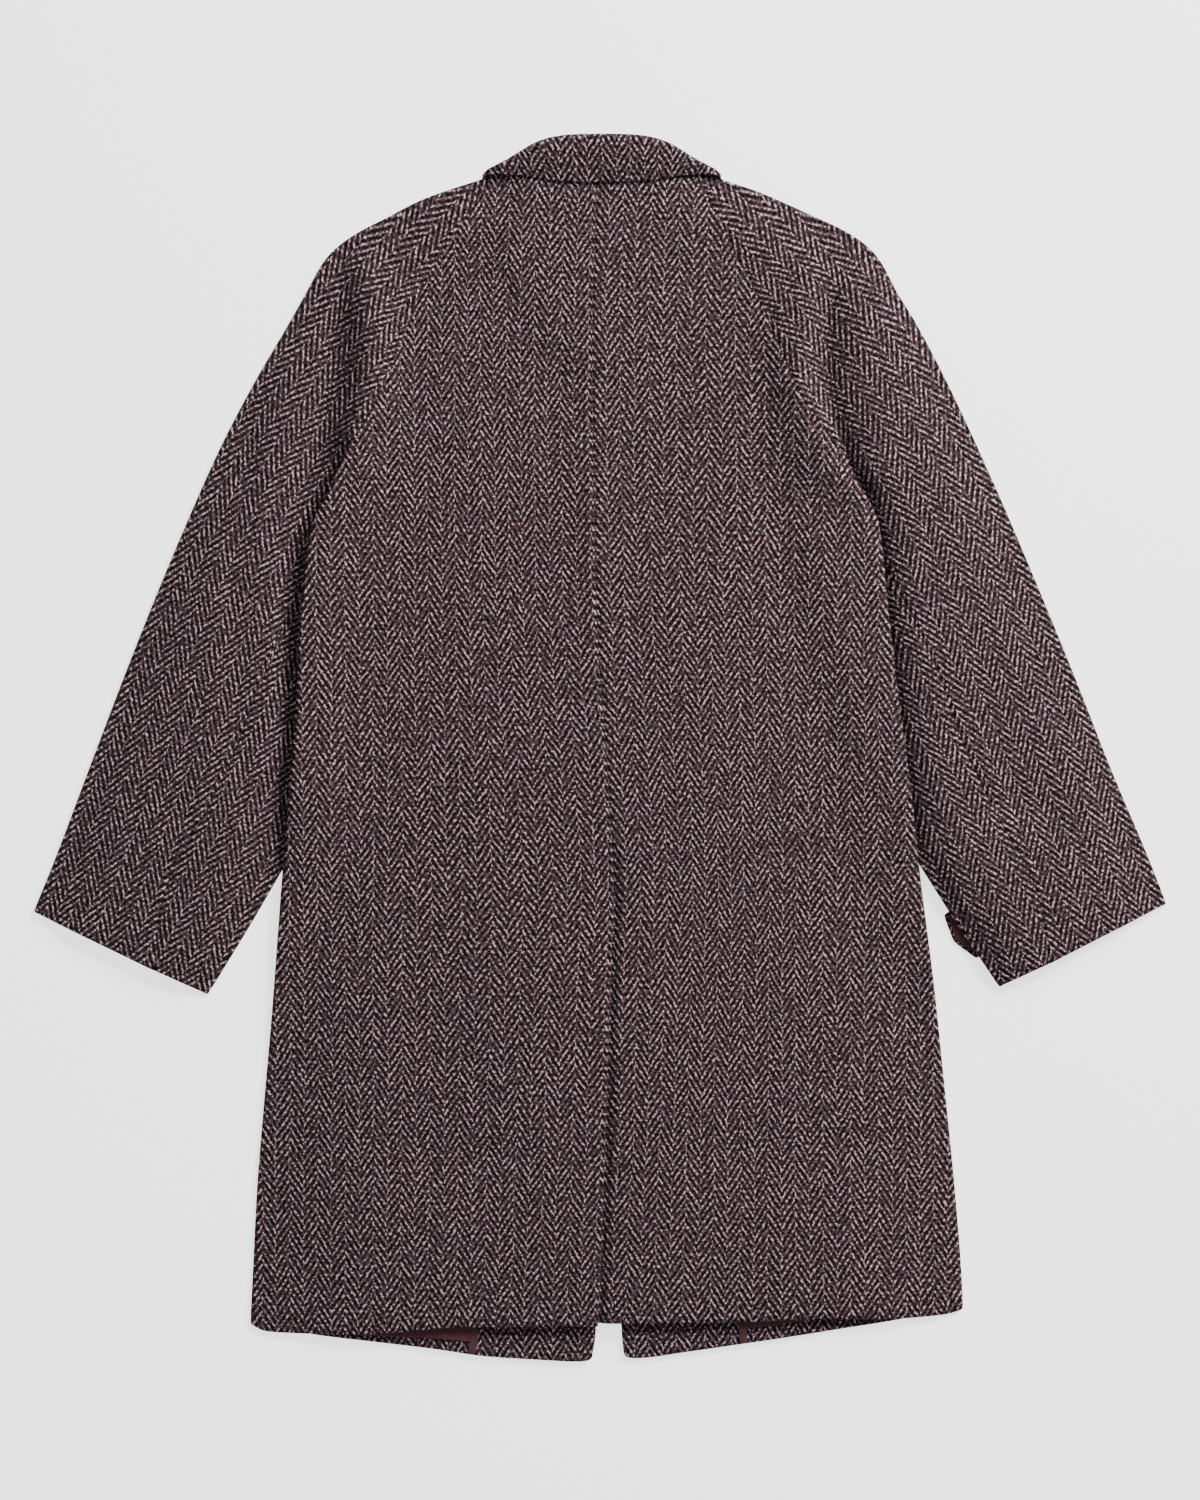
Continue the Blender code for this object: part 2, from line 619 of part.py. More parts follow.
def build_collar(material):
    """A leaf that rolls over at its fold, and the stand that joins it to the neckline."""
    leaf, stand = [], []
    for sign, (across, height, turn, fold, length, drop, roll, neck) in collar_stations():
        out = np.array((sign * math.sin(math.radians(turn)), 0.0, math.cos(math.radians(turn))))
        base = np.array((COLLAR_MIDDLE + sign * across, fold + roll, height))
        row = []
        for step in np.linspace(1.0, 0.0, LEAF_STEPS, endpoint=False):
            row.append(base + np.array((0.0, (length - roll) * step, 0.0)) - out * drop * step)
        for angle in np.radians(COLLAR_TURN):
            run = np.array((0.0, -roll * math.sin(angle), 0.0))
            row.append(base + run - out * roll * (1.0 - math.cos(angle)))
        side = "left" if sign < 0.0 else "right"
        level = row[-1][2]
        if turn < COLLAR_STEEP:
            level = back_height(side, row[-1][0], neck)
        end = np.array((row[-1][0], neck, level))
        run = (end - row[-1]) / np.linalg.norm(end - row[-1])
        start = row[-1] + run * (TAIL + COLLAR_SEAM)
        row.append(row[-1] + run * TAIL)
        leaf.append(row)
        stand.append([start + (end - start) * step for step in np.linspace(0.0, 1.0, STAND_STEPS)])
    cloth("collar_leaf", np.array(leaf), TWEED, material)
    cloth("collar_stand", np.array(stand), TWEED, material)


def build_tab(tweed, lining):
    """The right cuff tab, face down under the sleeve, with its lining above it."""
    run = TAB_TIP - TAB_ROOT
    length = np.linalg.norm(run)
    run = run / length
    square = np.array((-run[1], run[0]))
    layers = (("cuff_tab_right", tweed, TAB_WALL, 0.0, TAB_WALL / 2),
              ("cuff_tab_lining_right", lining, LINING, TAB_BORDER, TAB_WALL + LAYER_GAP + LINING / 2))
    for name, material, wall, border, height in layers:
        points = []
        for share in np.linspace(0.0, 1.0, TAB_STEPS):
            row = []
            for side in np.linspace(-1.0, 1.0, TAB_STEPS):
                reach = length - border - TAB_POINT * abs(side) ** 2
                place = TAB_ROOT + run * share * reach + square * side * (TAB_HALF_WIDTH - border)
                row.append((*place, height))
            points.append(row)
        cloth(name, np.array(points), wall, material)


def finish(name, colour, roughness):
    material = bpy.data.materials.new(name)
    material.use_nodes = True
    shader = material.node_tree.nodes["Principled BSDF"]
    shader.inputs["Base Color"].default_value = (*colour, 1.0)
    shader.inputs["Roughness"].default_value = roughness
    shader.inputs["Metallic"].default_value = 0.0
    return material


def build_coat():
    for item in list(bpy.data.objects):
        bpy.data.objects.remove(item)
    collection = bpy.data.collections.new("tweed_coat")
    bpy.context.scene.collection.children.link(collection)
    tweed = finish("herringbone_tweed", TWEED_COLOUR, TWEED_ROUGHNESS)
    lining = finish("burgundy_lining", LINING_COLOUR, LINING_ROUGHNESS)
    for side in ("left", "right"):
        build_front(side, tweed)
        build_front_inside(side, tweed, lining)
        build_sleeve(side, tweed)
        build_back(side, tweed)
    build_collar(tweed)
    build_tab(tweed, lining)


build_coat()
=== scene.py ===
import math

import bmesh
import bpy
import numpy as np
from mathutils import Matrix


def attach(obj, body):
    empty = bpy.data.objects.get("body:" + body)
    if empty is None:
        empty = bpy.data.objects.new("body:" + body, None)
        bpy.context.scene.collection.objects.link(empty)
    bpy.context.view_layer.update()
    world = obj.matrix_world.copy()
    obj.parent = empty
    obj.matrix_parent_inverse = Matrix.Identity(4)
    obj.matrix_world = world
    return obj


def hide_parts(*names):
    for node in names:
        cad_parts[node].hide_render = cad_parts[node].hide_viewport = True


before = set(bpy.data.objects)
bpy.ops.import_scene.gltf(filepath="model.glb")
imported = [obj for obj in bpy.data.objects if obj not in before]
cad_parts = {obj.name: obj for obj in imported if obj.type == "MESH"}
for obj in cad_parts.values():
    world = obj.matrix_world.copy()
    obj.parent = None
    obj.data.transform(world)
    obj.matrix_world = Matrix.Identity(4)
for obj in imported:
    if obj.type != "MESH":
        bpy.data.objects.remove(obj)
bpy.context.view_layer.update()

# Fronts: the two halves that close over the chest, of herringbone tweed, cut with the grain upright.
# They lie face down on the surface, are lifted over the sleeves' inner parts tucked under them and over
# the collar's front ends, and show only in a narrow band below the back hem.
MIDDLE_DOWN = 0.53995
TWEED = 0.0022
ON_FLOOR = 0.00125
SLEEVE_LIFT = 0.0062
COLLAR_LIFT = 0.0032
SEAM = 0.0005
CLEAR = 0.0002
LOWER_INSET = 0.0044
SEAM_END = 0.268
ROLL_FULL = 0.300
INSET_LEAD = 0.025
TUCK_MARGIN = 0.006
TUCK_FADE = 0.060
ARM_BOW = 0.018
ARMPIT_DOWN = 0.2780
COLLAR_MIDDLE = 0.0015
COLLAR_REACH = 0.104
COLLAR_MARGIN = 0.027
COLLAR_FADE = 0.072
NECK_FRONT = 0.1050
NECK_GAP = 0.0015
FRONT_NECK_SIDE = {"left": 0.0410, "right": 0.0470}
SIGN = {"left": -1.0, "right": 1.0}
COLUMN = {"left": 1, "right": 2}
PATH = {"left": slice(0, 2), "right": slice(2, 4)}

# down from the collar's fold, left, right
BODY_EDGE = np.array((
    (0.0300, -0.0910, 0.0815),
    (0.0550, -0.1065, 0.0945),
    (0.0950, -0.1320, 0.1150),
    (0.1200, -0.1490, 0.1275),
    (0.1720, -0.1705, 0.1515),
    (0.2260, -0.1930, 0.1740),
    (0.2520, -0.2065, 0.1910),
    (0.2780, -0.2225, 0.2125),
    (0.3040, -0.2355, 0.2265),
    (0.3240, -0.2445, 0.2380),
    (0.3400, -0.2535, 0.2455),
    (0.3750, -0.2595, 0.2500),
    (0.4300, -0.2650, 0.2555),
    (0.5000, -0.2680, 0.2635),
    (0.5800, -0.2745, 0.2745),
    (0.6500, -0.2800, 0.2820),
    (0.7600, -0.2885, 0.2960),
    (0.8500, -0.2965, 0.3055),
    (0.9300, -0.3030, 0.3135),
    (1.0000, -0.3065, 0.3190),
    (1.0600, -0.3095, 0.3220),
))
FRONT_EDGE = np.array((
    (0.0300, -0.0040, 0.0080),
    (1.0480, -0.0030, 0.0185),
    (1.0850, -0.0080, 0.0220),
))
# share of the width from the middle, left down, right down
FRONT_HEM = np.array((
    (0.000, 1.0780, 1.0755),
    (0.010, 1.0808, 1.0782),
    (0.035, 1.0820, 1.0790),
    (0.178, 1.0800, 1.0738),
    (0.320, 1.0772, 1.0677),
    (0.460, 1.0710, 1.0617),
    (0.655, 1.0640, 1.0525),
    (0.830, 1.0575, 1.0440),
    (1.000, 1.0440, 1.0310),
))
# left across, left down, right across, right down, armpit to cuff
ARM_INNER = np.array((
    (-0.1280, 0.3750, 0.1220, 0.3750),
    (-0.1900, 0.4980, 0.1860, 0.4980),
    (-0.2430, 0.5860, 0.2410, 0.5800),
    (-0.2800, 0.6480, 0.2830, 0.6460),
    (-0.3055, 0.6920, 0.3120, 0.6920),
    (-0.3460, 0.7585, 0.3520, 0.7515),
))
# collar's front half on the surface: across, fold, length of the leaf, neckline
COLLAR_FRONT = np.array((
    (0.0120, 0.0900, 0.0720, 0.1035),
    (0.0280, 0.0820, 0.0680, 0.0990),
    (0.0500, 0.0660, 0.0600, 0.0870),
    (0.0750, 0.0480, 0.0450, 0.0610),
    (0.0940, 0.0335, 0.0110, 0.0395),
))


def ease(value, start, end):
    """Rise smoothly from 0 at start to 1 at end."""
    share = np.clip((value - start) / (end - start), 0.0, 1.0)
    return share * share * (3.0 - 2.0 * share)


def curve(keys, values, key):
    """Read a smooth curve through a table's values, with no overshoot between them."""
    steps = np.diff(values) / np.diff(keys)
    inner = np.where(steps[:-1] * steps[1:] > 0.0, 2.0 * steps[:-1] * steps[1:], 0.0)
    total = np.where(inner > 0.0, steps[:-1] + steps[1:], 1.0)
    slopes = np.concatenate((steps[:1], inner / total, steps[-1:]))
    index = np.clip(np.searchsorted(keys, key) - 1, 0, len(keys) - 2)
    span = keys[index + 1] - keys[index]
    share = (key - keys[index]) / span
    rest = 1.0 - share
    value = (values[index] * (1.0 + 2.0 * share) + slopes[index] * span * share) * rest * rest
    return value + (values[index + 1] * (3.0 - 2.0 * share) - slopes[index + 1] * span * rest) * share * share


def outward(points, sign):
    """Unit directions square to a row of points, to the side that sign gives."""
    run = np.gradient(points, axis=0)
    run /= np.linalg.norm(run, axis=1)[:, None]
    return sign * np.stack((run[:, 1], -run[:, 0]), axis=1)


def body_edge(side, down):
    return curve(BODY_EDGE[:, 0], BODY_EDGE[:, COLUMN[side]], down)


def front_edge(side, down):
    return curve(FRONT_EDGE[:, 0], FRONT_EDGE[:, COLUMN[side]], down)


def tucked(side, x, down):
    """1 where the body lies on the sleeve tucked under it, fading to 0 beyond."""
    inner = ARM_INNER[:, PATH[side]]
    line = inner[3] - inner[0]
    top = inner[0] - np.array((body_edge(side, ARMPIT_DOWN), ARMPIT_DOWN))
    inward = ((x - inner[0, 0]) * line[1] - (down - inner[0, 1]) * line[0]) / np.linalg.norm(line)
    above = ((x - inner[0, 0]) * top[1] - (down - inner[0, 1]) * top[0]) / np.linalg.norm(top)
    outside = np.maximum(-SIGN[side] * inward - ARM_BOW, -SIGN[side] * above)
    return 1.0 - ease(outside, TUCK_MARGIN, TUCK_FADE)


def over_collar(x, down):
    """1 above the collar's front ends, fading to 0 beyond."""
    across = np.abs(x - COLLAR_MIDDLE)
    reach = np.interp(across, COLLAR_FRONT[:, 0], COLLAR_FRONT[:, 1] + COLLAR_FRONT[:, 2])
    return 1.0 - ease(np.maximum(down - reach, across - COLLAR_REACH), COLLAR_MARGIN, COLLAR_FADE)


def front_height(side, x, down):
    return ON_FLOOR + SLEEVE_LIFT * tucked(side, x, down) + COLLAR_LIFT * over_collar(x, down)


def front_neck(side, step):
    start = front_edge(side, NECK_FRONT)
    across = np.abs(start + step * (body_edge(side, FRONT_NECK_SIDE[side]) - start) - COLLAR_MIDDLE)
    return np.interp(across, COLLAR_FRONT[:, 0], COLLAR_FRONT[:, 3]) + NECK_GAP


def hem_rows(count):
    """Shares of a panel's length, close together at the hem."""
    return np.concatenate((np.linspace(0.0, 0.984, count), (0.989, 0.9925, 0.9955, 0.9978, 0.9992, 1.0)))


def bend_rows(points, shares, hem_column, hem, neck):
    """Bring the top and bottom rows of a body panel to the neckline and the hem's curve."""
    width = points[:, -1, 0] - points[:, 0, 0]
    step = (points[:, :, 0] - points[:, :1, 0]) / width[:, None]
    level = hem[0, hem_column] + step * (hem[-1, hem_column] - hem[0, hem_column])
    collar = neck(0.0) + step * (neck(1.0) - neck(0.0))
    points[:, :, 1] += shares[:, None] ** 4 * (curve(hem[:, 0], hem[:, hem_column], step) - level)
    points[:, :, 1] += (1.0 - shares[:, None]) ** 4 * (neck(step) - collar)


def upright(x, down):
    """Weave coordinates of cloth whose grain runs down the coat."""
    return x, -down


def cloth(name, points, weave, wall, material, levels):
    """A cloth wall on rows of points, each across, down and height, with its weave as a UV map."""
    rows, columns = points.shape[:2]
    u, v = weave
    grid = bmesh.new()
    bmesh.ops.create_grid(grid, x_segments=columns - 1, y_segments=rows - 1, size=1.0)
    for vertex, (x, down, height) in zip(grid.verts, points.reshape(-1, 3)):
        vertex.co = (x, MIDDLE_DOWN - down, max(height, wall / 2 + CLEAR))
    grid.verts.index_update()
    layer = grid.loops.layers.uv.new("weave")
    u, v = u.ravel(), v.ravel()
    for face in grid.faces:
        face.smooth = True
        for loop in face.loops:
            loop[layer].uv = (u[loop.vert.index], v[loop.vert.index])
    mesh = bpy.data.meshes.new(name)
    grid.to_mesh(mesh)
    grid.free()
    mesh.materials.append(material)
    piece = bpy.data.objects.new(name, mesh)
    bpy.context.scene.collection.objects.link(piece)
    thickness = piece.modifiers.new("wall", "SOLIDIFY")
    thickness.thickness = wall
    thickness.offset = 0.0
    if levels:
        smooth = piece.modifiers.new("smooth", "SUBSURF")
        smooth.levels = levels
        smooth.render_levels = levels
    return piece


def place(piece, solid):
    """Put a finished piece on the coat's body in place of its solid."""
    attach(piece, "root")
    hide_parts(solid)


def node(tree, kind, inputs, **settings):
    """A shader node with its settings, and its inputs given as values or as other nodes' outputs."""
    made = tree.nodes.new(kind)
    for key, value in settings.items():
        setattr(made, key, value)
    for key, value in inputs.items():
        if isinstance(value, bpy.types.NodeSocket):
            tree.links.new(value, made.inputs[key])
        else:
            made.inputs[key].default_value = value
    return made


def maths(tree, operation, *values):
    return node(tree, "ShaderNodeMath", dict(enumerate(values)), operation=operation).outputs[0]


def mix(tree, factor, first, second):
    inputs = {"Factor": factor, 6: first, 7: second}
    return node(tree, "ShaderNodeMix", inputs, data_type="RGBA").outputs[2]


def ramp(tree, factor, stops, kind="LINEAR"):
    """Colours at places from 0 to 1, each a place and three values."""
    made = node(tree, "ShaderNodeValToRGB", {0: factor})
    made.color_ramp.interpolation = kind
    elements = made.color_ramp.elements
    for index, (spot, *colour) in enumerate(stops):
        element = elements[index] if index < 2 else elements.new(spot)
        element.position = spot
        element.color = (*colour, 1.0)
    return made.outputs[0]


def tweed_material(name):
    """Herringbone tweed: pale broken twill lines that turn at each stripe, on dark yarn, with flecks."""
    stripe, slope, pitch = 0.01225, 1.52, 0.0083
    line_tone, ground_tone, turn_tone, turn_width = 0.86, 0.05, 0.12, 0.0016
    stripe_break = 0.4
    fleck_share = 0.07
    tones = (
        (0.00, 0.0050, 0.0014, 0.0022),
        (1.00, 0.5000, 0.3400, 0.3770),
        (0.14, 0.0110, 0.0045, 0.0062),
        (0.42, 0.0290, 0.0168, 0.0196),
        (0.64, 0.0560, 0.0375, 0.0428),
        (0.82, 0.1080, 0.0780, 0.0860),
        (0.93, 0.2250, 0.1620, 0.1800),
    )
    fleck_hues = (
        (0.00, 0.120, 0.026, 0.024),
        (0.35, 0.150, 0.062, 0.034),
        (0.60, 0.042, 0.048, 0.080),
        (0.78, 0.150, 0.105, 0.052),
    )
    material = bpy.data.materials.new(name)
    material.use_nodes = True
    tree = material.node_tree
    shader = tree.nodes["Principled BSDF"]
    weave = node(tree, "ShaderNodeUVMap", {}, uv_map="weave").outputs[0]

    def noise(scale, detail, output):
        inputs = {"Vector": weave, "Scale": scale, "Detail": detail}
        return node(tree, "ShaderNodeTexNoise", inputs).outputs[output]

    def swing(scale, size):
        return maths(tree, "MULTIPLY", maths(tree, "SUBTRACT", noise(scale, 1.0, "Fac"), 0.5), size)

    wander = weave
    for scale, reach in ((14.0, 0.0050), (90.0, 0.0012), (330.0, 0.0014)):
        shift = node(tree, "ShaderNodeVectorMath", {0: noise(scale, 1.0, "Color"), 1: (0.5, 0.5, 0.5)},
                     operation="SUBTRACT").outputs[0]
        wander = node(tree, "ShaderNodeVectorMath", {0: shift, 1: (reach, reach, 0.0), 2: wander},
                      operation="MULTIPLY_ADD").outputs[0]
    spot = node(tree, "ShaderNodeSeparateXYZ", {0: wander}).outputs
    zigzag = maths(tree, "PINGPONG", spot[0], stripe)
    stripes = maths(tree, "FLOOR", maths(tree, "DIVIDE", spot[0], stripe))
    broken = maths(tree, "MULTIPLY", maths(tree, "FLOORED_MODULO", stripes, 2.0), stripe_break)
    run = maths(tree, "DIVIDE", maths(tree, "MULTIPLY_ADD", zigzag, slope, spot[1]), pitch)
    run = maths(tree, "ADD", run, broken)
    wave = maths(tree, "MULTIPLY", maths(tree, "PINGPONG", run, 0.5), 2.0)
    beads = swing(380.0, 1.9)
    rough = maths(tree, "ADD", beads, swing(60.0, 0.16))
    turn = node(tree, "ShaderNodeMapRange", {"Value": maths(tree, "PINGPONG", zigzag, stripe / 2),
                                             "From Max": turn_width, "To Min": turn_tone,
                                             "To Max": 0.0}).outputs[0]
    tone = maths(tree, "MULTIPLY_ADD", wave, line_tone, maths(tree, "ADD", rough, ground_tone))
    tone = maths(tree, "MULTIPLY_ADD", turn, wave, tone)
    woven = ramp(tree, tone, tones)
    cells = node(tree, "ShaderNodeTexVoronoi", {"Vector": wander, "Scale": 75.0})
    pick = node(tree, "ShaderNodeSeparateColor", {0: cells.outputs["Color"]}).outputs
    near = node(tree, "ShaderNodeMapRange", {"Value": cells.outputs["Distance"], "From Min": 0.05,
                                             "From Max": 0.16, "To Min": 0.75, "To Max": 0.0}).outputs[0]
    fleck = maths(tree, "MULTIPLY", near, maths(tree, "GREATER_THAN", pick[0], 1.0 - fleck_share))
    flecked = mix(tree, fleck, woven, ramp(tree, pick[1], fleck_hues, "CONSTANT"))
    tree.links.new(flecked, shader.inputs["Base Color"])
    bump = node(tree, "ShaderNodeBump", {"Strength": 0.6, "Distance": 0.0008, "Height": tone}).outputs[0]
    tree.links.new(bump, shader.inputs["Normal"])
    shader.inputs["Roughness"].default_value = 0.95
    shader.inputs["Specular IOR Level"].default_value = 0.03
    shader.inputs["Sheen Weight"].default_value = 0.03
    shader.inputs["Sheen Roughness"].default_value = 0.55
    shader.inputs["Sheen Tint"].default_value = (0.85, 0.74, 0.77, 1.0)
    return material


tweed = tweed_material("herringbone_tweed")
for side in ("left", "right"):
    sign = SIGN[side]
    column = COLUMN[side]
    shares = hem_rows(70)
    neck_ends = front_neck(side, 0.0), front_neck(side, 1.0)
    inner_down = neck_ends[0] + shares * (FRONT_HEM[0, column] - neck_ends[0])
    outer_down = neck_ends[1] + shares * (FRONT_HEM[-1, column] - neck_ends[1])
    inner = np.stack((front_edge(side, inner_down), inner_down), axis=1)
    outer = np.stack((body_edge(side, outer_down), outer_down), axis=1)
    turned = ease(outer_down, SEAM_END - INSET_LEAD, ROLL_FULL - INSET_LEAD)
    outer -= outward(outer, sign) * (SEAM / 2 + (LOWER_INSET - SEAM / 2) * turned)[:, None]
    across = np.concatenate(((0.0, 0.004, 0.010, 0.020), np.linspace(0.04, 1.0, 32)))
    flat = inner[:, None] + (outer - inner)[:, None] * across[None, :, None]
    points = np.concatenate((flat, np.zeros(flat.shape[:2] + (1,))), axis=2)
    bend_rows(points, shares, column, FRONT_HEM, lambda step: front_neck(side, step))
    points[:, :, 2] = front_height(side, points[:, :, 0], points[:, :, 1])
    grain = upright(points[:, :, 0], points[:, :, 1])
    front = cloth(f"front_{side}_cloth", points, grain, TWEED, tweed, 1)
    place(front, f"front_{side}")

# Insides of the fronts at the hem: a tweed facing behind each front edge, the front's own hem turned up
# beside it, and burgundy lining felled over that hem with a little ease. The facing's raw edge is bound
# with a tape of the lining. They show only as a wedge below the back hem, and are made only there.
LINING = 0.0008
FACING_WIDTH = 0.107
TURN_UP = 0.040
TURN_UP_STEP = (0.003, 0.017)
SIDE_CLEARANCE = 0.090
ON_FRONT = 0.0028
# height of the lining's lower edge above the hem at the facing, and its fall for each metre outwards
LINING_EDGE = {"left": (0.0118, 0.066), "right": (0.0136, 0.012)}
FACING_HEIGHT = ON_FRONT + 0.00125
FOLD_DROP = 0.0008
FOLD_REACH = 0.005
LINING_REST = 0.0005
LINING_STEP = 0.0028
PUCKER_LEAN = 0.15
INSIDE_HEIGHT = 0.150
LINING_HEIGHT = 0.120
HEM_STEPS = (0.0006, 0.0014, 0.0028, 0.0050)
BINDING_WIDTH = 0.0070
# distance from the front edge, width and height of the lining's small ridges
PUCKERS = (
    (0.119, 0.0035, 0.0005),
    (0.134, 0.0060, 0.0008),
    (0.149, 0.0030, 0.0006),
    (0.166, 0.0070, 0.0007),
    (0.185, 0.0040, 0.0004),
)


def hem_width(side):
    down = FRONT_HEM[0, COLUMN[side]]
    return abs(body_edge(side, down) - front_edge(side, down)) - LOWER_INSET


def front_patch(side, across, ups, height):
    """Points on the inside of a front, by distance from its edge and height above its hem."""
    hem = curve(FRONT_HEM[:, 0], FRONT_HEM[:, COLUMN[side]], across / hem_width(side))
    ups = ups + np.zeros((1, len(across)))
    down = hem[None, :] - ups
    x = front_edge(side, down) + SIGN[side] * across[None, :]
    return np.stack((x, down, height(across[None, :], ups)), axis=2)


def satin_material(name, dark, pale):
    """Smooth burgundy lining with a fine cross weave and a soft sheen."""
    material = bpy.data.materials.new(name)
    material.use_nodes = True
    tree = material.node_tree
    shader = tree.nodes["Principled BSDF"]
    weave = node(tree, "ShaderNodeUVMap", {}, uv_map="weave").outputs[0]
    slub = node(tree, "ShaderNodeTexNoise", {"Vector": weave, "Scale": 220.0, "Detail": 3.0}).outputs["Fac"]
    colour = mix(tree, slub, (*dark, 1.0), (*pale, 1.0))
    tree.links.new(colour, shader.inputs["Base Color"])
    bump = node(tree, "ShaderNodeBump", {"Strength": 0.25, "Distance": 0.0003, "Height": slub}).outputs[0]
    tree.links.new(bump, shader.inputs["Normal"])
    shader.inputs["Roughness"].default_value = 0.48
    shader.inputs["Specular IOR Level"].default_value = 0.12
    shader.inputs["Sheen Weight"].default_value = 0.05
    return material


def turned_edge(across, ups):
    return FACING_HEIGHT - FOLD_DROP * (1.0 - ease(ups, 0.0, FOLD_REACH))


def lining_height(across, ups):
    over = 1.0 - ease(ups, TURN_UP + TURN_UP_STEP[0], TURN_UP + TURN_UP_STEP[1])
    ridges = sum(high * np.exp(-((across - middle - PUCKER_LEAN * (ups - 0.02)) / wide) ** 2)
                 for middle, wide, high in PUCKERS)
    return ON_FRONT + LINING_REST + LINING_STEP * over + ridges * over


def binding_height(across, ups):
    bow = 1.0 - ((across - FACING_WIDTH) / BINDING_WIDTH) ** 2
    return FACING_HEIGHT + 0.0016 + 0.0005 * bow - 0.0012 * (1.0 - ease(ups, 0.0, 0.004))


satin = satin_material("burgundy_lining", (0.046, 0.0115, 0.0165), (0.078, 0.025, 0.034))
tape = satin_material("burgundy_tape", (0.018, 0.006, 0.008), (0.088, 0.042, 0.049))
for side in ("left", "right"):
    ups = np.concatenate((HEM_STEPS, np.linspace(0.008, INSIDE_HEIGHT, 24)))
    across = np.concatenate(((0.0006, 0.0018, 0.0036, 0.0060, 0.0100), np.linspace(0.015, FACING_WIDTH, 22)))
    points = front_patch(side, across, ups[:, None], turned_edge)
    grain = upright(points[:, :, 0] + 0.006, points[:, :, 1])
    facing = cloth(f"facing_{side}_cloth", points, grain, TWEED, tweed, 1)
    place(facing, f"facing_{side}")

    across = np.linspace(FACING_WIDTH + SEAM, hem_width(side) - SIDE_CLEARANCE, 26)
    ups = np.concatenate((HEM_STEPS, np.linspace(0.008, TURN_UP, 9)))
    points = front_patch(side, across, ups[:, None], turned_edge)
    grain = upright(points[:, :, 0], points[:, :, 1] + 0.003)
    turn_up = cloth(f"hem_turn_{side}_cloth", points, grain, TWEED, tweed, 1)
    place(turn_up, f"hem_turn_{side}")

    across = np.linspace(FACING_WIDTH + SEAM, hem_width(side) - SIDE_CLEARANCE, 90)
    start = LINING_EDGE[side][0] - LINING_EDGE[side][1] * (across - FACING_WIDTH)
    climb = np.concatenate((np.linspace(0.0, 0.45, 26), (0.64, 0.82, 1.0)))
    ups = start[None, :] + climb[:, None] * (LINING_HEIGHT - start[None, :])
    points = front_patch(side, across, ups, lining_height)
    grain = upright(points[:, :, 0], points[:, :, 1])
    sheet = cloth(f"lining_{side}_cloth", points, grain, LINING, satin, 1)
    place(sheet, f"lining_{side}")

    across = np.linspace(FACING_WIDTH - BINDING_WIDTH / 2, FACING_WIDTH + BINDING_WIDTH / 2, 9)
    points = front_patch(side, across, np.linspace(0.0010, 0.070, 40)[:, None], binding_height)
    grain = upright(points[:, :, 0], points[:, :, 1])
    binding = cloth(f"facing_binding_{side}", points, grain, LINING, tape, 1)
    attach(binding, "root")

# Raglan sleeves: a front piece lying on the surface, an under piece and a back piece joined along the
# back of the arm. The upper cloth rolls down over the lower at the outer edge and along the inside of
# the arm, sinks into a soft valley beside the body, and its grain turns with the arm.
LOW = 0.0044
HIGH = 0.0110
ROLL = 0.0031
ROLL_EDGE = 0.00125
ROLL_ANGLES = (15.0, 30.0, 45.0, 60.0, 75.0, 90.0, 90.0)
ROLL_HANG = (0.0, 0.0, 0.0, 0.0, 0.0, 0.0, 0.0008)
HIDDEN_SEAM = 0.0015
UNDERARM_LAP = 0.026
NECK_SIDE = 0.0300
# the sleeve's neck end stays below this line: down at the middle, and its fall for each metre outwards
UNDER_FOLD = (-0.0190, 0.544)
SLEEVE_CROWN_WIDTH = 0.050
RISE_WIDTH = {"left": 0.050, "right": 0.034}
FALL_POWER = {"left": 0.75, "right": 1.0}
BANK = {"left": 0.0022, "right": 0.0050}
CREVICE = {"left": 0.0, "right": 0.0034}
CREVICE_STEPS = np.array((0.0, 0.0007, 0.0015, 0.0025, 0.0038, 0.0055, 0.0080, 0.0120))
RIDGE = {"left": 0.0125, "right": 0.0112}
RIDGE_BELOW = {"left": 0.80, "right": 0.40}
RIDGE_WIDTH = (0.026, 0.042)
BANK_FADE = 0.09
CREVICE_FOOT = 0.0018
CREVICE_FADE = (0.008, 0.045)
EDGE_SOFT = 0.02
LEAST_ROW = 0.0004
CUFF_FOLD = np.array((0.0001, 0.0003, 0.0006, 0.0010, 0.0013))
# depth and width
SUNK_SEAM = (0.0007, 0.0022)
# reach and drop, and where the reach starts and is full, from the seam
NECK_TUCK = (0.0060, 0.0020)
NECK_TUCK_START = (0.001, 0.010)
# where each form starts and is full, down the coat
VALLEY_START = (0.085, 0.160)
RIDGE_END = (0.560, 0.680)
RIDGE_DROP = (0.270, 0.340)
RIDGE_WIDENS = (0.225, 0.300)
CREVICE_START = (0.265, 0.310)
SEAM_PARTS = (0.262, ROLL_FULL)
UNDERARM = (0.240, 0.272, 0.310, 0.370)
ALLOWANCE = 0.0045
ALLOWANCE_DROP = 0.0026
TAB_ROOT = np.array((0.3630, 0.6730))
TAB_TIP = np.array((0.3110, 0.7120))
TAB_HALF_WIDTH = 0.0240
TAB_LIFT = 0.0037
TAB_MARGIN = 0.024
TAB_FADE = 0.064
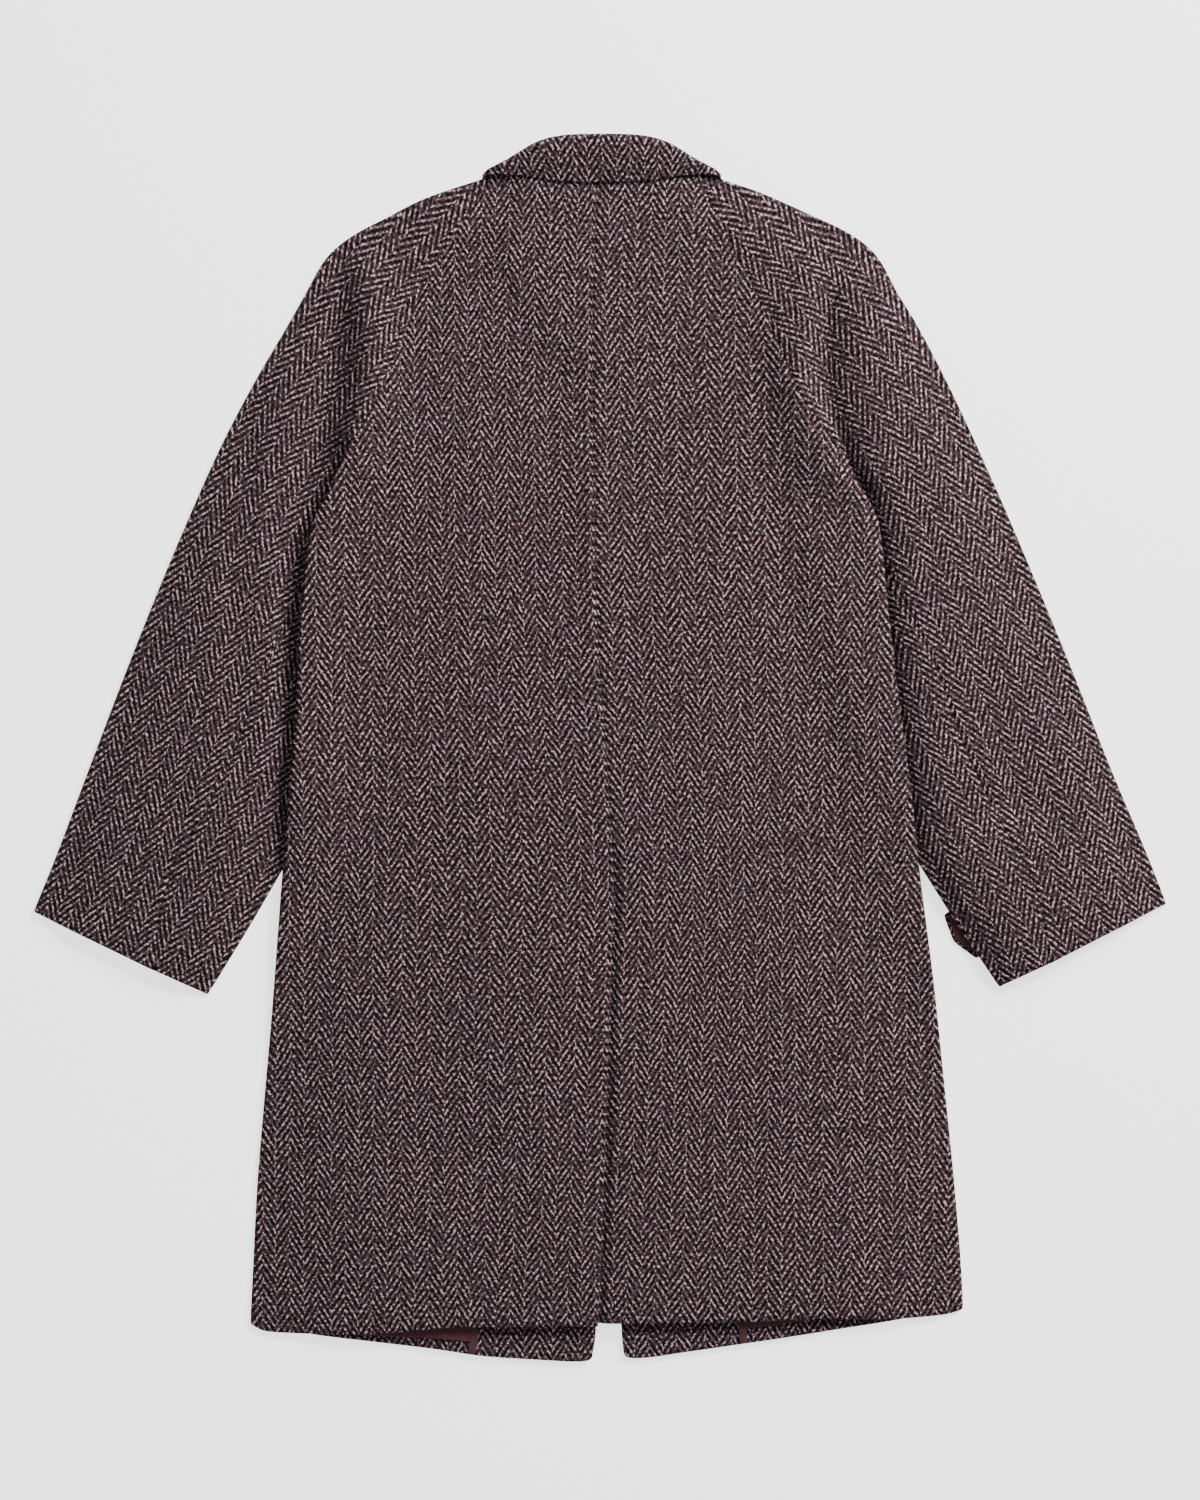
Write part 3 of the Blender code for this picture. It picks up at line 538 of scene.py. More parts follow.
# crest of the body's fold over the sleeve: down, left, right, left width of the slope beside it, right width
CREST = np.array((
    (0.1000, -0.2080, 0.1980, 0.022, 0.022),
    (0.1300, -0.2050, 0.1860, 0.027, 0.022),
    (0.1640, -0.2035, 0.1770, 0.034, 0.024),
    (0.2080, -0.2045, 0.1730, 0.037, 0.027),
    (0.2430, -0.2095, 0.1810, 0.036, 0.025),
    (0.2870, -0.2230, 0.2000, 0.032, 0.021),
    (0.3220, -0.2410, 0.2250, 0.022, 0.014),
    (0.3620, -0.2560, 0.2390, 0.014, 0.010),
    (0.4300, -0.2630, 0.2475, 0.010, 0.008),
    (0.5000, -0.2660, 0.2560, 0.007, 0.008),
    (0.5800, -0.2725, 0.2670, 0.006, 0.008),
    (0.7600, -0.2865, 0.2885, 0.008, 0.008),
))
# left across, left down, right across, right down, neck to cuff
SLEEVE_OUTLINE = np.array((
    (-0.1035, 0.0385, 0.1065, 0.0385),
    (-0.1380, 0.0495, 0.1390, 0.0495),
    (-0.1610, 0.0580, 0.1600, 0.0580),
    (-0.1900, 0.0730, 0.1900, 0.0715),
    (-0.2135, 0.0850, 0.2175, 0.0845),
    (-0.2345, 0.1000, 0.2380, 0.0990),
    (-0.2445, 0.1115, 0.2480, 0.1110),
    (-0.2590, 0.1375, 0.2620, 0.1375),
    (-0.2735, 0.1635, 0.2780, 0.1635),
    (-0.3045, 0.2165, 0.3060, 0.2165),
    (-0.3325, 0.2695, 0.3310, 0.2695),
    (-0.3565, 0.3220, 0.3545, 0.3220),
    (-0.3900, 0.4010, 0.3880, 0.4010),
    (-0.4215, 0.4805, 0.4205, 0.4805),
    (-0.4515, 0.5595, 0.4515, 0.5595),
    (-0.4815, 0.6390, 0.4850, 0.6390),
    (-0.5000, 0.6845, 0.5000, 0.6775),
))
# left across, left down, right across, right down, armpit to cuff
ARM_SEAM = np.array((
    (-0.2320, 0.3240, 0.2260, 0.3240),
    (-0.2480, 0.3650, 0.2430, 0.3650),
    (-0.2630, 0.4000, 0.2620, 0.4000),
    (-0.2800, 0.4360, 0.2800, 0.4360),
    (-0.2960, 0.4710, 0.2960, 0.4710),
    (-0.3150, 0.5250, 0.3150, 0.5250),
    (-0.3340, 0.5700, 0.3345, 0.5700),
    (-0.3540, 0.6080, 0.3540, 0.6080),
    (-0.3780, 0.6510, 0.3790, 0.6530),
    (-0.3880, 0.6840, 0.3890, 0.6855),
    (-0.3925, 0.7360, 0.3950, 0.7300),
))
# down, and the grain's lean from upright in degrees
GRAIN = np.array((
    (0.020, 54.0),
    (0.110, 43.0),
    (0.260, 32.0),
    (0.366, 25.5),
    (0.480, 22.5),
    (0.600, 21.5),
    (0.800, 21.0),
))
# soft creases on the upper sleeves: from outwards, from down, to outwards, to down, width, height
SLEEVE_CREASES = {
    "left": (
        (0.308, 0.215, 0.322, 0.420, 0.012, -0.0026),
        (0.322, 0.360, 0.318, 0.620, 0.013, -0.0026),
        (0.290, 0.330, 0.292, 0.600, 0.011, 0.0014),
        (0.385, 0.400, 0.440, 0.640, 0.018, 0.0007),
        (0.400, 0.545, 0.425, 0.690, 0.010, -0.0006),
        (0.235, 0.120, 0.268, 0.250, 0.012, 0.0007),
        (0.150, 0.065, 0.205, 0.100, 0.012, -0.0006),
    ),
    "right": (
        (0.182, 0.105, 0.157, 0.245, 0.010, -0.0015),
        (0.290, 0.270, 0.322, 0.480, 0.016, 0.0009),
        (0.246, 0.170, 0.266, 0.215, 0.010, -0.0008),
        (0.318, 0.400, 0.385, 0.660, 0.012, -0.0013),
        (0.400, 0.500, 0.452, 0.670, 0.015, 0.0007),
        (0.330, 0.610, 0.425, 0.650, 0.012, -0.0005),
        (0.148, 0.070, 0.200, 0.092, 0.012, -0.0005),
    ),
}


def along(path, shares):
    """Points at the given shares of a path's length."""
    lengths = np.concatenate(((0.0,), np.cumsum(np.linalg.norm(np.diff(path, axis=0), axis=1))))
    keys = lengths / lengths[-1]
    return np.stack([curve(keys, path[:, axis], shares) for axis in (0, 1)], axis=1)


def distance(path, x, down):
    """Least distance from places to a path."""
    run = np.diff(path, axis=0)
    aside = x[..., None] - path[:-1, 0]
    below = down[..., None] - path[:-1, 1]
    share = np.clip((aside * run[:, 0] + below * run[:, 1]) / (run ** 2).sum(axis=1), 0.0, 1.0)
    return np.hypot(aside - share * run[:, 0], below - share * run[:, 1]).min(axis=-1)


def creases(table, x, down):
    """Soft ridges and troughs along straight lines, fading out at their ends."""
    total = np.zeros(x.shape)
    for from_x, from_down, to_x, to_down, width, height in table:
        run = np.array((to_x - from_x, to_down - from_down))
        share = ((x - from_x) * run[0] + (down - from_down) * run[1]) / (run @ run)
        off = ((x - from_x) * run[1] - (down - from_down) * run[0]) / np.linalg.norm(run)
        total += height * np.exp(-(off / width) ** 2) * np.sin(math.pi * np.clip(share, 0.0, 1.0))
    return total


def raglan(side, start):
    """Raglan seam from a place on the neckline to the armpit."""
    rows = BODY_EDGE[(BODY_EDGE[:, 0] > start) & (BODY_EDGE[:, 0] <= ARMPIT_DOWN)]
    neck = np.array((body_edge(side, start), start))
    return np.vstack((neck, rows[:, (COLUMN[side], 0)]))


def beside_crest(side, x, down):
    """Distance outwards from the crest of the body's fold, and the width of its slope there."""
    level = np.clip(down, CREST[0, 0], CREST[-1, 0])
    off = SIGN[side] * (x - curve(CREST[:, 0], CREST[:, COLUMN[side]], level))
    return off, curve(CREST[:, 0], CREST[:, COLUMN[side] + 2], level)


def fall(side, off, width):
    """Slope outwards from the crest, 1 to 0, steepest near the crest where its power is below 1."""
    return 1.0 - ease(np.clip(off / width, 0.0, 1.0) ** FALL_POWER[side], 0.0, 1.0)


def ridge(side, x, down):
    """Swelling of the body along the crest, with a long slope inwards and a short one outwards."""
    off, width = beside_crest(side, x, down)
    fade = ease(down, *VALLEY_START) * (1.0 - ease(down, *RIDGE_END))
    fade = fade * (1.0 - (1.0 - RIDGE_BELOW[side]) * ease(down, *RIDGE_DROP))
    inner = RIDGE_WIDTH[0] + (RIDGE_WIDTH[1] - RIDGE_WIDTH[0]) * ease(down, *RIDGE_WIDENS)
    return RIDGE[side] * fade * np.where(off < 0.0, np.exp(-(off / inner) ** 2), fall(side, off, width))


def bank(side, beyond, down):
    """Swelling of the sleeve past the valley's foot, with a steep foot beside the body's edge."""
    reach = RISE_WIDTH[side]
    rise = 1.0 - (1.0 - np.clip(beyond / reach, 0.0, 1.0)) ** 2
    broad = BANK[side] * rise * (1.0 - ease(beyond, reach, reach + BANK_FADE))
    steep = CREVICE[side] * (1.0 - np.exp(-beyond / CREVICE_FOOT)) * (1.0 - ease(beyond, *CREVICE_FADE))
    return broad * ease(down, *VALLEY_START) + steep * ease(down, *CREVICE_START)


def over_tab(side, x, down):
    if side == "left":
        return np.zeros(x.shape)
    beyond = distance(np.array((TAB_ROOT, TAB_TIP)), x, down) - TAB_HALF_WIDTH
    return 1.0 - ease(beyond, TAB_MARGIN, TAB_FADE)


def sleeve_height(side, x, down):
    """Height of the upper sleeve: a valley beside the body's fold, low edges, creases and sunk seams."""
    off, width = beside_crest(side, x, down)
    body = 1.0 - ease(down, *SEAM_PARTS)
    rest = 1.0 - np.clip((off - width) / RISE_WIDTH[side], 0.0, 1.0)
    valley = np.where(off < width, fall(side, off, width) * body, 1.0 - rest ** 2)
    outline = distance(SLEEVE_OUTLINE[:, PATH[side]], x, down)
    edge = np.minimum(outline, distance(ARM_INNER[:, PATH[side]], x, down))
    inside = ease(edge, 0.0, EDGE_SOFT)
    swell = ridge(side, x, down) * body + bank(side, np.maximum(off - width, 0.0), down) * inside
    crown = (1.0 - ease(down, *VALLEY_START) * (1.0 - valley)) * ease(edge, 0.0, SLEEVE_CROWN_WIDTH)
    lift = COLLAR_LIFT * over_collar(x, down) + TAB_LIFT * over_tab(side, x, down)
    arm_seam = distance(ARM_SEAM[:, PATH[side]], x, down)
    seams = np.minimum(distance(raglan(side, NECK_SIDE), x, down), arm_seam)
    sunk = SUNK_SEAM[0] * np.exp(-(seams / SUNK_SEAM[1]) ** 2)
    soft = creases(SLEEVE_CREASES[side], SIGN[side] * x, down) * inside
    return LOW + (HIGH - LOW) * crown + lift + swell + soft - sunk


def strip(side, free, rolled, sign, height, steps, rolls, more):
    """Rows of points from a free edge to one that rolls down, by the share in rolls and the depth in more."""
    out = outward(rolled, sign)
    crease = rolled - out * (ROLL_EDGE + ROLL)
    flat = free[:, None] + (crease - free)[:, None] * np.atleast_2d(steps)[..., None]
    high = height(side, flat[:, :, 0], flat[:, :, 1])
    rows = [np.concatenate((flat, high[:, :, None]), axis=2)]
    for step, (angle, hang) in enumerate(zip(ROLL_ANGLES, ROLL_HANG), 1):
        level = SEAM / 2 + (ROLL_EDGE + ROLL - SEAM / 2) * (1.0 - step / len(ROLL_ANGLES))
        arc = ROLL_EDGE + ROLL * (1.0 - math.sin(math.radians(angle)))
        drop = (ROLL + more) * (1.0 - math.cos(math.radians(angle))) + hang
        spot = rolled - out * (level + (arc - level) * rolls)[:, None]
        rows.append(np.concatenate((spot, (high[:, -1] - drop * rolls)[:, None]), axis=1)[:, None])
    return np.concatenate(rows, axis=1)


def crevice_steps(side, free, rolled):
    """Shares of each row from a seam to a rolled edge, close together beside the body's edge."""
    tries = np.linspace(0.0, 1.0, 241)
    flat = free[:, None] + (rolled - free)[:, None] * tries[None, :, None]
    off, width = beside_crest(side, flat[..., 0], flat[..., 1])
    foot = np.array([np.interp(0.0, row, tries) for row in width - off])
    foot = np.clip(foot, 0.12, 0.93)
    reach = foot * np.linalg.norm(rolled - free, axis=1)
    near = CREVICE_STEPS * np.minimum(1.0, 0.5 * reach / CREVICE_STEPS[-1])[:, None]
    far = near[:, -1:] + (reach[:, None] - near[:, -1:]) * np.linspace(0.0, 1.0, 14)[1:]
    outer = foot[:, None] * (1.0 - np.concatenate((near, far), axis=1)[:, ::-1] / reach[:, None])
    inner = foot[:, None] + (1.0 - foot[:, None]) * np.linspace(0.0, 1.0, 8)[1:]
    return np.concatenate((outer, inner), axis=1)


def seam_allowance(points, reach):
    """Carry the first column on below the neighbouring piece, as far as reach gives for each row."""
    edge = points[:, 0]
    run = (edge - points[:, 1])[:, :2]
    run /= np.linalg.norm(run, axis=1)[:, None]
    rows = []
    for share, sink in ((1.0, 1.0), (0.35, 0.85), (0.06, 0.40)):
        spot = edge[:, :2] + run * (share * reach)[:, None]
        rows.append(np.concatenate((spot, (edge[:, 2] - sink * ALLOWANCE_DROP)[:, None]), axis=1)[:, None])
    return np.concatenate((*rows, points), axis=1)


def sleeve_grain(side, x, down, lean, start):
    """Weave coordinates that turn with the arm."""
    levels = np.linspace(GRAIN[0, 0], GRAIN[-1, 0], 400)
    angle = np.radians(np.interp(levels, GRAIN[:, 0], GRAIN[:, 1]) + lean)
    step = levels[1] - levels[0]
    aside = np.interp(down, levels, np.cumsum(np.tan(angle)) * step)
    run = np.interp(down, levels, np.cumsum(1.0 / np.cos(angle)) * step)
    turn = np.interp(down, levels, angle)
    off = SIGN[side] * x - aside
    return SIGN[side] * (off * np.cos(turn) + start), -(off * np.sin(turn) + run)


def cuff_rows(count):
    return np.concatenate((np.linspace(0.0, 0.975, count), (0.983, 0.989, 0.9935, 0.997, 0.999, 1.0)))


def cuff_turn(points):
    """Turn the last rows of an upper sleeve piece down at the cuff's folded edge."""
    points[-len(CUFF_FOLD):, :, 2] -= CUFF_FOLD[:, None]


def neck_tuck(points):
    """Add a first row to a back sleeve that goes in under the collar, short of its fold."""
    end = points[:1].copy()
    aside = np.abs(end[0, :, 0] - end[0, 3, 0])
    aside[:3] = 0.0
    level = end[0, :, 1]
    under_fold = UNDER_FOLD[0] + UNDER_FOLD[1] * np.abs(end[0, :, 0] - COLLAR_MIDDLE)
    raised = np.maximum(level - NECK_TUCK[0] * ease(aside, *NECK_TUCK_START), under_fold)
    end[0, :, 1] = np.minimum(level - LEAST_ROW, raised)
    end[0, :, 2] -= NECK_TUCK[1]
    return np.concatenate((end, points))


for side in ("left", "right"):
    sign = SIGN[side]
    columns = PATH[side]
    arm_seam = ARM_SEAM[:, columns]
    arm_inner = ARM_INNER[:, columns]
    shares = cuff_rows(112)
    outline = along(SLEEVE_OUTLINE[:, columns], shares)
    seam = along(np.vstack((raglan(side, NECK_SIDE), arm_seam)), shares)
    first = int(np.argmax(seam[:, 1] > arm_seam[0, 1]))
    inner = along(arm_inner, np.linspace(0.0, 1.0, len(seam) - first))

    upper = np.vstack((raglan(side, FRONT_NECK_SIDE[side]), arm_inner[:1]))
    upper = along(upper, np.linspace(0.0, 1.0, first + 1)[:-1])
    lap = UNDERARM_LAP * ease(upper[:, 1], *UNDERARM[:2]) * (1.0 - ease(upper[:, 1], *UNDERARM[2:]))
    upper = upper + outward(upper, sign) * (HIDDEN_SEAM - lap)[:, None]
    low = np.vstack((upper, inner + outward(inner, sign) * LOWER_INSET))
    outer = outline - outward(outline, sign) * LOWER_INSET
    flat = low[:, None] + (outer - low)[:, None] * np.linspace(0.0, 1.0, 20)[None, :, None]
    lift = COLLAR_LIFT * over_collar(flat[:, :, 0], flat[:, :, 1])
    lift += TAB_LIFT * over_tab(side, flat[:, :, 0], flat[:, :, 1])
    points = np.concatenate((flat, (ON_FLOOR + lift)[:, :, None]), axis=2)
    grain = sleeve_grain(side, points[:, :, 0], points[:, :, 1], 0.0, 0.004)
    piece = cloth(f"sleeve_front_{side}_cloth", points, grain, TWEED, tweed, 1)
    place(piece, f"sleeve_front_{side}")

    arm = (seam - outward(seam, sign) * SEAM / 2)[first:]
    steps = crevice_steps(side, arm, inner)
    points = strip(side, arm, inner, -sign, sleeve_height, steps, np.ones(len(arm)), 0.0)
    cuff_turn(points)
    grain = sleeve_grain(side, points[:, :, 0], points[:, :, 1], 3.5, 0.009)
    piece = cloth(f"sleeve_under_{side}_cloth", points, grain, TWEED, tweed, 1)
    place(piece, f"sleeve_under_{side}")

    free = seam + outward(seam, sign) * SEAM / 2
    near_seam = (0.0, 0.008, 0.018, 0.030, 0.044, 0.060, 0.080, 0.105)
    steps = np.concatenate((near_seam, np.linspace(0.135, 1.0, 22)))
    points = strip(side, free, outline, sign, sleeve_height, steps, np.ones(len(seam)), 0.0)
    points = seam_allowance(points, ALLOWANCE * ease(seam[:, 1], NECK_SIDE - 0.004, NECK_SIDE + 0.012))
    points = neck_tuck(points)
    cuff_turn(points)
    grain = sleeve_grain(side, points[:, :, 0], points[:, :, 1], 0.0, 0.0)
    piece = cloth(f"sleeve_back_{side}_cloth", points, grain, TWEED, tweed, 1)
    place(piece, f"sleeve_back_{side}")

# Back: two halves of the same tweed, sewn down the middle. Below the seam the left half laps over the
# right as a long vent, its edge turned in. The sides roll down over the fronts, the raglan edges are
# sewn flat to the sleeves, and the hem is turned up so that it ends in a soft fold.
CROWN_WIDTH = 0.110
VENT_RISE = 0.0026
HEM_RISE = 0.0022
UNDERLAP = 0.035
UNDERLAP_DROP = 0.0040
VENT_TOP = 0.650
VENT_STEPS = (0.0015, 0.0025, 0.0035, 0.0045, 0.0060, 0.0080, 0.010)
NECK_BACK = 0.0330
CREASE_EDGE = 0.03
HEM_FOLD = np.array((0.0001, 0.0003, 0.0007, 0.0011, 0.0015))
# depth and width
RAGLAN_SUNK = (0.0006, 0.0022)
MIDDLE_SUNK = (0.0010, 0.0020)
# where each form starts and is full, down the coat
SIDE_FALLS = (0.25, 0.33)
VENT_RISE_DOWN = (VENT_TOP + 0.01, 0.86)
HEM_RISE_DOWN = (0.90, 0.95)
# the same, from the side's edge or from the middle
HEM_RISE_INSIDE = (0.03, 0.11)
BESIDE_VENT = (0.05, 0.13)
GRAIN_STRAIGHTENS = (0.02, 0.20)
# down, across
CENTRE = np.array((
    (0.0300, -0.0025),
    (0.1720, -0.0070),
    (0.3750, -0.0045),
    (0.4450, -0.0020),
    (0.4900, 0.0010),
    (0.5700, 0.0070),
    (0.6400, 0.0105),
    (0.6720, 0.0115),
    (0.7310, 0.0090),
    (0.9380, 0.0020),
    (1.0600, -0.0030),
))
# share of the width from the middle, left down, right down
BACK_HEM = np.array((
    (0.000, 1.0490, 1.0455),
    (0.350, 1.0495, 1.0448),
    (0.465, 1.0507, 1.0440),
    (0.560, 1.0535, 1.0430),
    (0.675, 1.0560, 1.0415),
    (0.825, 1.0560, 1.0425),
    (0.960, 1.0545, 1.0395),
    (1.000, 1.0480, 1.0350),
))
# soft creases on the back: from across, from down, to across, to down, width, height
BACK_CREASES = (
    (-0.009, 0.110, -0.004, 0.520, 0.021, 0.0027),
    (-0.275, 0.630, -0.020, 0.642, 0.012, -0.0010),
    (0.020, 0.644, 0.280, 0.632, 0.010, -0.0012),
    (-0.300, 0.884, -0.020, 0.900, 0.014, -0.0009),
    (0.020, 0.896, 0.310, 0.884, 0.013, -0.0012),
    (-0.072, 0.130, -0.066, 0.330, 0.013, 0.0007),
    (-0.125, 0.100, -0.135, 0.340, 0.020, 0.0006),
    (0.070, 0.060, 0.078, 0.300, 0.020, -0.0006),
    (0.120, 0.120, 0.128, 0.380, 0.022, 0.0007),
    (0.142, 0.170, 0.148, 0.360, 0.014, -0.0016),
    (0.140, 0.280, 0.194, 0.580, 0.015, -0.0016),
    (0.178, 0.280, 0.234, 0.580, 0.017, 0.0024),
    (0.198, 0.430, 0.215, 0.640, 0.012, -0.0009),
    (-0.238, 0.345, -0.170, 0.400, 0.010, -0.0007),
    (-0.245, 0.395, -0.165, 0.440, 0.011, 0.0006),
    (-0.170, 0.520, -0.150, 0.980, 0.028, -0.0008),
    (-0.090, 0.450, -0.100, 0.900, 0.026, 0.0007),
    (0.095, 0.480, 0.120, 0.940, 0.028, 0.0007),
    (0.190, 0.600, 0.205, 1.020, 0.026, -0.0008),
    (-0.240, 0.640, -0.255, 1.030, 0.020, 0.0006),
    (0.250, 0.650, 0.272, 1.020, 0.018, 0.0006),
    (-0.200, 0.835, 0.180, 0.850, 0.030, -0.0006),
    (-0.160, 0.300, 0.150, 0.315, 0.035, 0.0005),
)


def centre(down):
    return curve(CENTRE[:, 0], CENTRE[:, 1], down)


def back_height(side, x, down):
    """Height of the back: low at its sides, higher over the tucked sleeve, the vent and the neck."""
    inside = SIGN[side] * (body_edge(side, down) - x)
    crown = 1.0 - (1.0 - ease(inside, 0.0, CROWN_WIDTH)) * ease(down, *SIDE_FALLS)
    shoulder = ease(distance(SLEEVE_OUTLINE[:, PATH[side]], x, down), 0.0, SLEEVE_CROWN_WIDTH)
    tuck = tucked(side, x, down)
    beside_vent = 1.0 - ease(np.abs(x - centre(down)), *BESIDE_VENT)
    rise = VENT_RISE * beside_vent * ease(down, *VENT_RISE_DOWN)
    rise += HEM_RISE * (1.0 - beside_vent) * ease(inside, *HEM_RISE_INSIDE) * ease(down, *HEM_RISE_DOWN)
    base = LOW + (HIGH - LOW) * crown * shoulder
    high = base * (1.0 - tuck) + (LOW + SLEEVE_LIFT) * tuck + rise + COLLAR_LIFT * over_collar(x, down)
    seam = RAGLAN_SUNK[0] * np.exp(-(distance(raglan(side, NECK_SIDE), x, down) / RAGLAN_SUNK[1]) ** 2)
    middle = MIDDLE_SUNK[0] * np.exp(-((x - centre(down)) / MIDDLE_SUNK[1]) ** 2)
    middle = middle * (1.0 - 0.6 * ease(down, VENT_TOP - 0.03, VENT_TOP))
    soft = creases(BACK_CREASES, x, down) * ease(inside, 0.0, CREASE_EDGE) + ridge(side, x, down)
    return high + soft - seam - middle


def back_half_height(side, x, down):
    """The right half drops under the left below the top of the vent."""
    if side == "left":
        return back_height(side, x, down)
    drop = UNDERLAP_DROP * ease(down, VENT_TOP - 0.035, VENT_TOP)
    return back_height(side, x, down) - drop * (1.0 - ease(x - centre(down), VENT_STEPS[0], VENT_STEPS[-1]))


def back_neck(step):
    return NECK_BACK + (NECK_SIDE - NECK_BACK) * step


def back_grain(side, x, down):
    """Upright weave that follows the lean of the centre seam near the middle."""
    near = 1.0 - ease(np.abs(x), *GRAIN_STRAIGHTENS)
    start = 0.0035 if side == "left" else 0.0
    return x + start - centre(down) * near, -down


for side in ("left", "right"):
    sign = SIGN[side]
    column = COLUMN[side]
    shares = hem_rows(132)
    inner_down = NECK_BACK + shares * (BACK_HEM[0, column] - NECK_BACK)
    outer_down = NECK_SIDE + shares * (BACK_HEM[-1, column] - NECK_SIDE)
    outer = np.stack((body_edge(side, outer_down), outer_down), axis=1)
    rolls = ease(outer_down, SEAM_END, ROLL_FULL)
    if side == "left":
        free = np.stack((centre(inner_down) - SEAM / 2, inner_down), axis=1)
        steps = np.concatenate(((0.0, 0.004, 0.009, 0.016, 0.026), np.linspace(0.045, 1.0, 42)))
    else:
        free = np.stack((centre(inner_down) + VENT_STEPS[-1], inner_down), axis=1)
        steps = np.linspace(0.0, 1.0, 44)
    swell = ridge(side, outer[:, 0] - sign * ROLL, outer[:, 1])
    points = strip(side, free, outer, sign, back_half_height, steps, rolls, swell)
    if side == "right":
        lap = UNDERLAP * ease(inner_down, VENT_TOP + 0.005, VENT_TOP + 0.040)
        edge = centre(inner_down) + SEAM / 2 - lap
        near = centre(inner_down) + VENT_STEPS[0]
        under = [edge + (near - edge) * share for share in (0.0, 0.2, 0.4, 0.6, 0.8)]
        under += [centre(inner_down) + step for step in VENT_STEPS[:-1]]
        x = np.stack(under, axis=1)
        down = np.repeat(inner_down[:, None], x.shape[1], axis=1)
        lapped = np.stack((x, down, back_half_height(side, x, down)), axis=2)
        points = np.concatenate((lapped, points), axis=1)
    else:
        sewn = 1.0 - ease(inner_down, VENT_TOP - 0.045, VENT_TOP - 0.010)
        points = seam_allowance(points, ALLOWANCE * sewn)
    bend_rows(points, shares, column, BACK_HEM, back_neck)
    points[-len(HEM_FOLD):, :, 2] -= HEM_FOLD[:, None]
    grain = back_grain(side, points[:, :, 0], points[:, :, 1])
    piece = cloth(f"back_{side}_cloth", points, grain, TWEED, tweed, 1)
    flat = (0.33, 1.03) if side == "left" else (0.365, 1.02)
    place(piece, f"back_{side}")

# Collar: a leaf of doubled tweed that rolls over at its fold and lies turned down on the back, on a stand
# sewn to the neckline. Both run round the sides of the neck to front ends flat on the surface.
LEAF = 0.0027
TAIL = 0.0004
COLLAR_SEAM = 0.0012
COLLAR_STEEP = 45.0
LEAF_ROWS = np.concatenate(((1.0, 0.985, 0.96, 0.92), np.linspace(0.85, 0.0, 12)))
LEAF_BOW = 1.6
# the stand's lap on the leaf and its tuck below the neckline, each along and across the cloth
STAND_LAP = (0.0015, 0.0006)
STAND_UNDER = (0.0040, 0.0030)
# across, height, turn in degrees, fold, length, edge drop, roll, end of the stand below it
COLLAR = np.array((
    (0.0000, 0.0245, 0.0, 0.0026, 0.0405, 0.0080, 0.0042, 0.0330),
    (0.0240, 0.0243, 0.0, 0.0030, 0.0396, 0.0079, 0.0042, 0.0330),
    (0.0420, 0.0238, 0.0, 0.0050, 0.0364, 0.0076, 0.0042, 0.0326),
    (0.0580, 0.0220, 4.0, 0.0097, 0.0294, 0.0062, 0.0038, 0.0320),
    (0.0700, 0.0200, 8.0, 0.0161, 0.0210, 0.0046, 0.0034, 0.0314),
    (0.0820, 0.0176, 12.0, 0.0232, 0.0127, 0.0030, 0.0028, 0.0312),
    (0.0920, 0.0154, 20.0, 0.0282, 0.0072, 0.0014, 0.0021, 0.0332),
    (0.1000, 0.0122, 45.0, 0.0318, 0.0046, 0.0000, 0.0019, 0.0362),
    (0.1040, 0.0070, 90.0, 0.0346, 0.0046, 0.0000, 0.0019, 0.0392),
    (0.1005, 0.0024, 140.0, 0.0346, 0.0070, 0.0000, 0.0018, 0.0392),
    (0.0940, ON_FLOOR, 180.0, 0.0350, 0.0110, 0.0000, 0.0016, 0.0395),
    (0.0750, ON_FLOOR, 180.0, 0.0480, 0.0450, 0.0000, 0.0016, 0.0610),
    (0.0500, ON_FLOOR, 180.0, 0.0660, 0.0600, 0.0000, 0.0016, 0.0870),
    (0.0280, ON_FLOOR, 180.0, 0.0820, 0.0680, 0.0000, 0.0016, 0.0990),
    (0.0120, ON_FLOOR, 180.0, 0.0900, 0.0720, 0.0000, 0.0016, 0.1035),
))
mirror = np.array((-1.0, 1.0, -1.0, 1.0, 1.0, 1.0, 1.0, 1.0))
stations = np.vstack((COLLAR[:0:-1] * mirror, COLLAR))
reach = len(COLLAR) - 1
places = np.linspace(-reach, reach, 12 * reach + 1)
sections = [curve(np.arange(-reach, reach + 1), stations[:, key], places) for key in range(stations.shape[1])]
leaf, stand, leaf_weave, stand_weave = [], [], [], []
girth = np.hypot(np.diff(sections[0]), np.diff(sections[1]) * 0.6 + np.diff(sections[3]) * 0.4)
girth = np.concatenate(((0.0,), np.cumsum(girth)))
girth -= girth[len(girth) // 2]
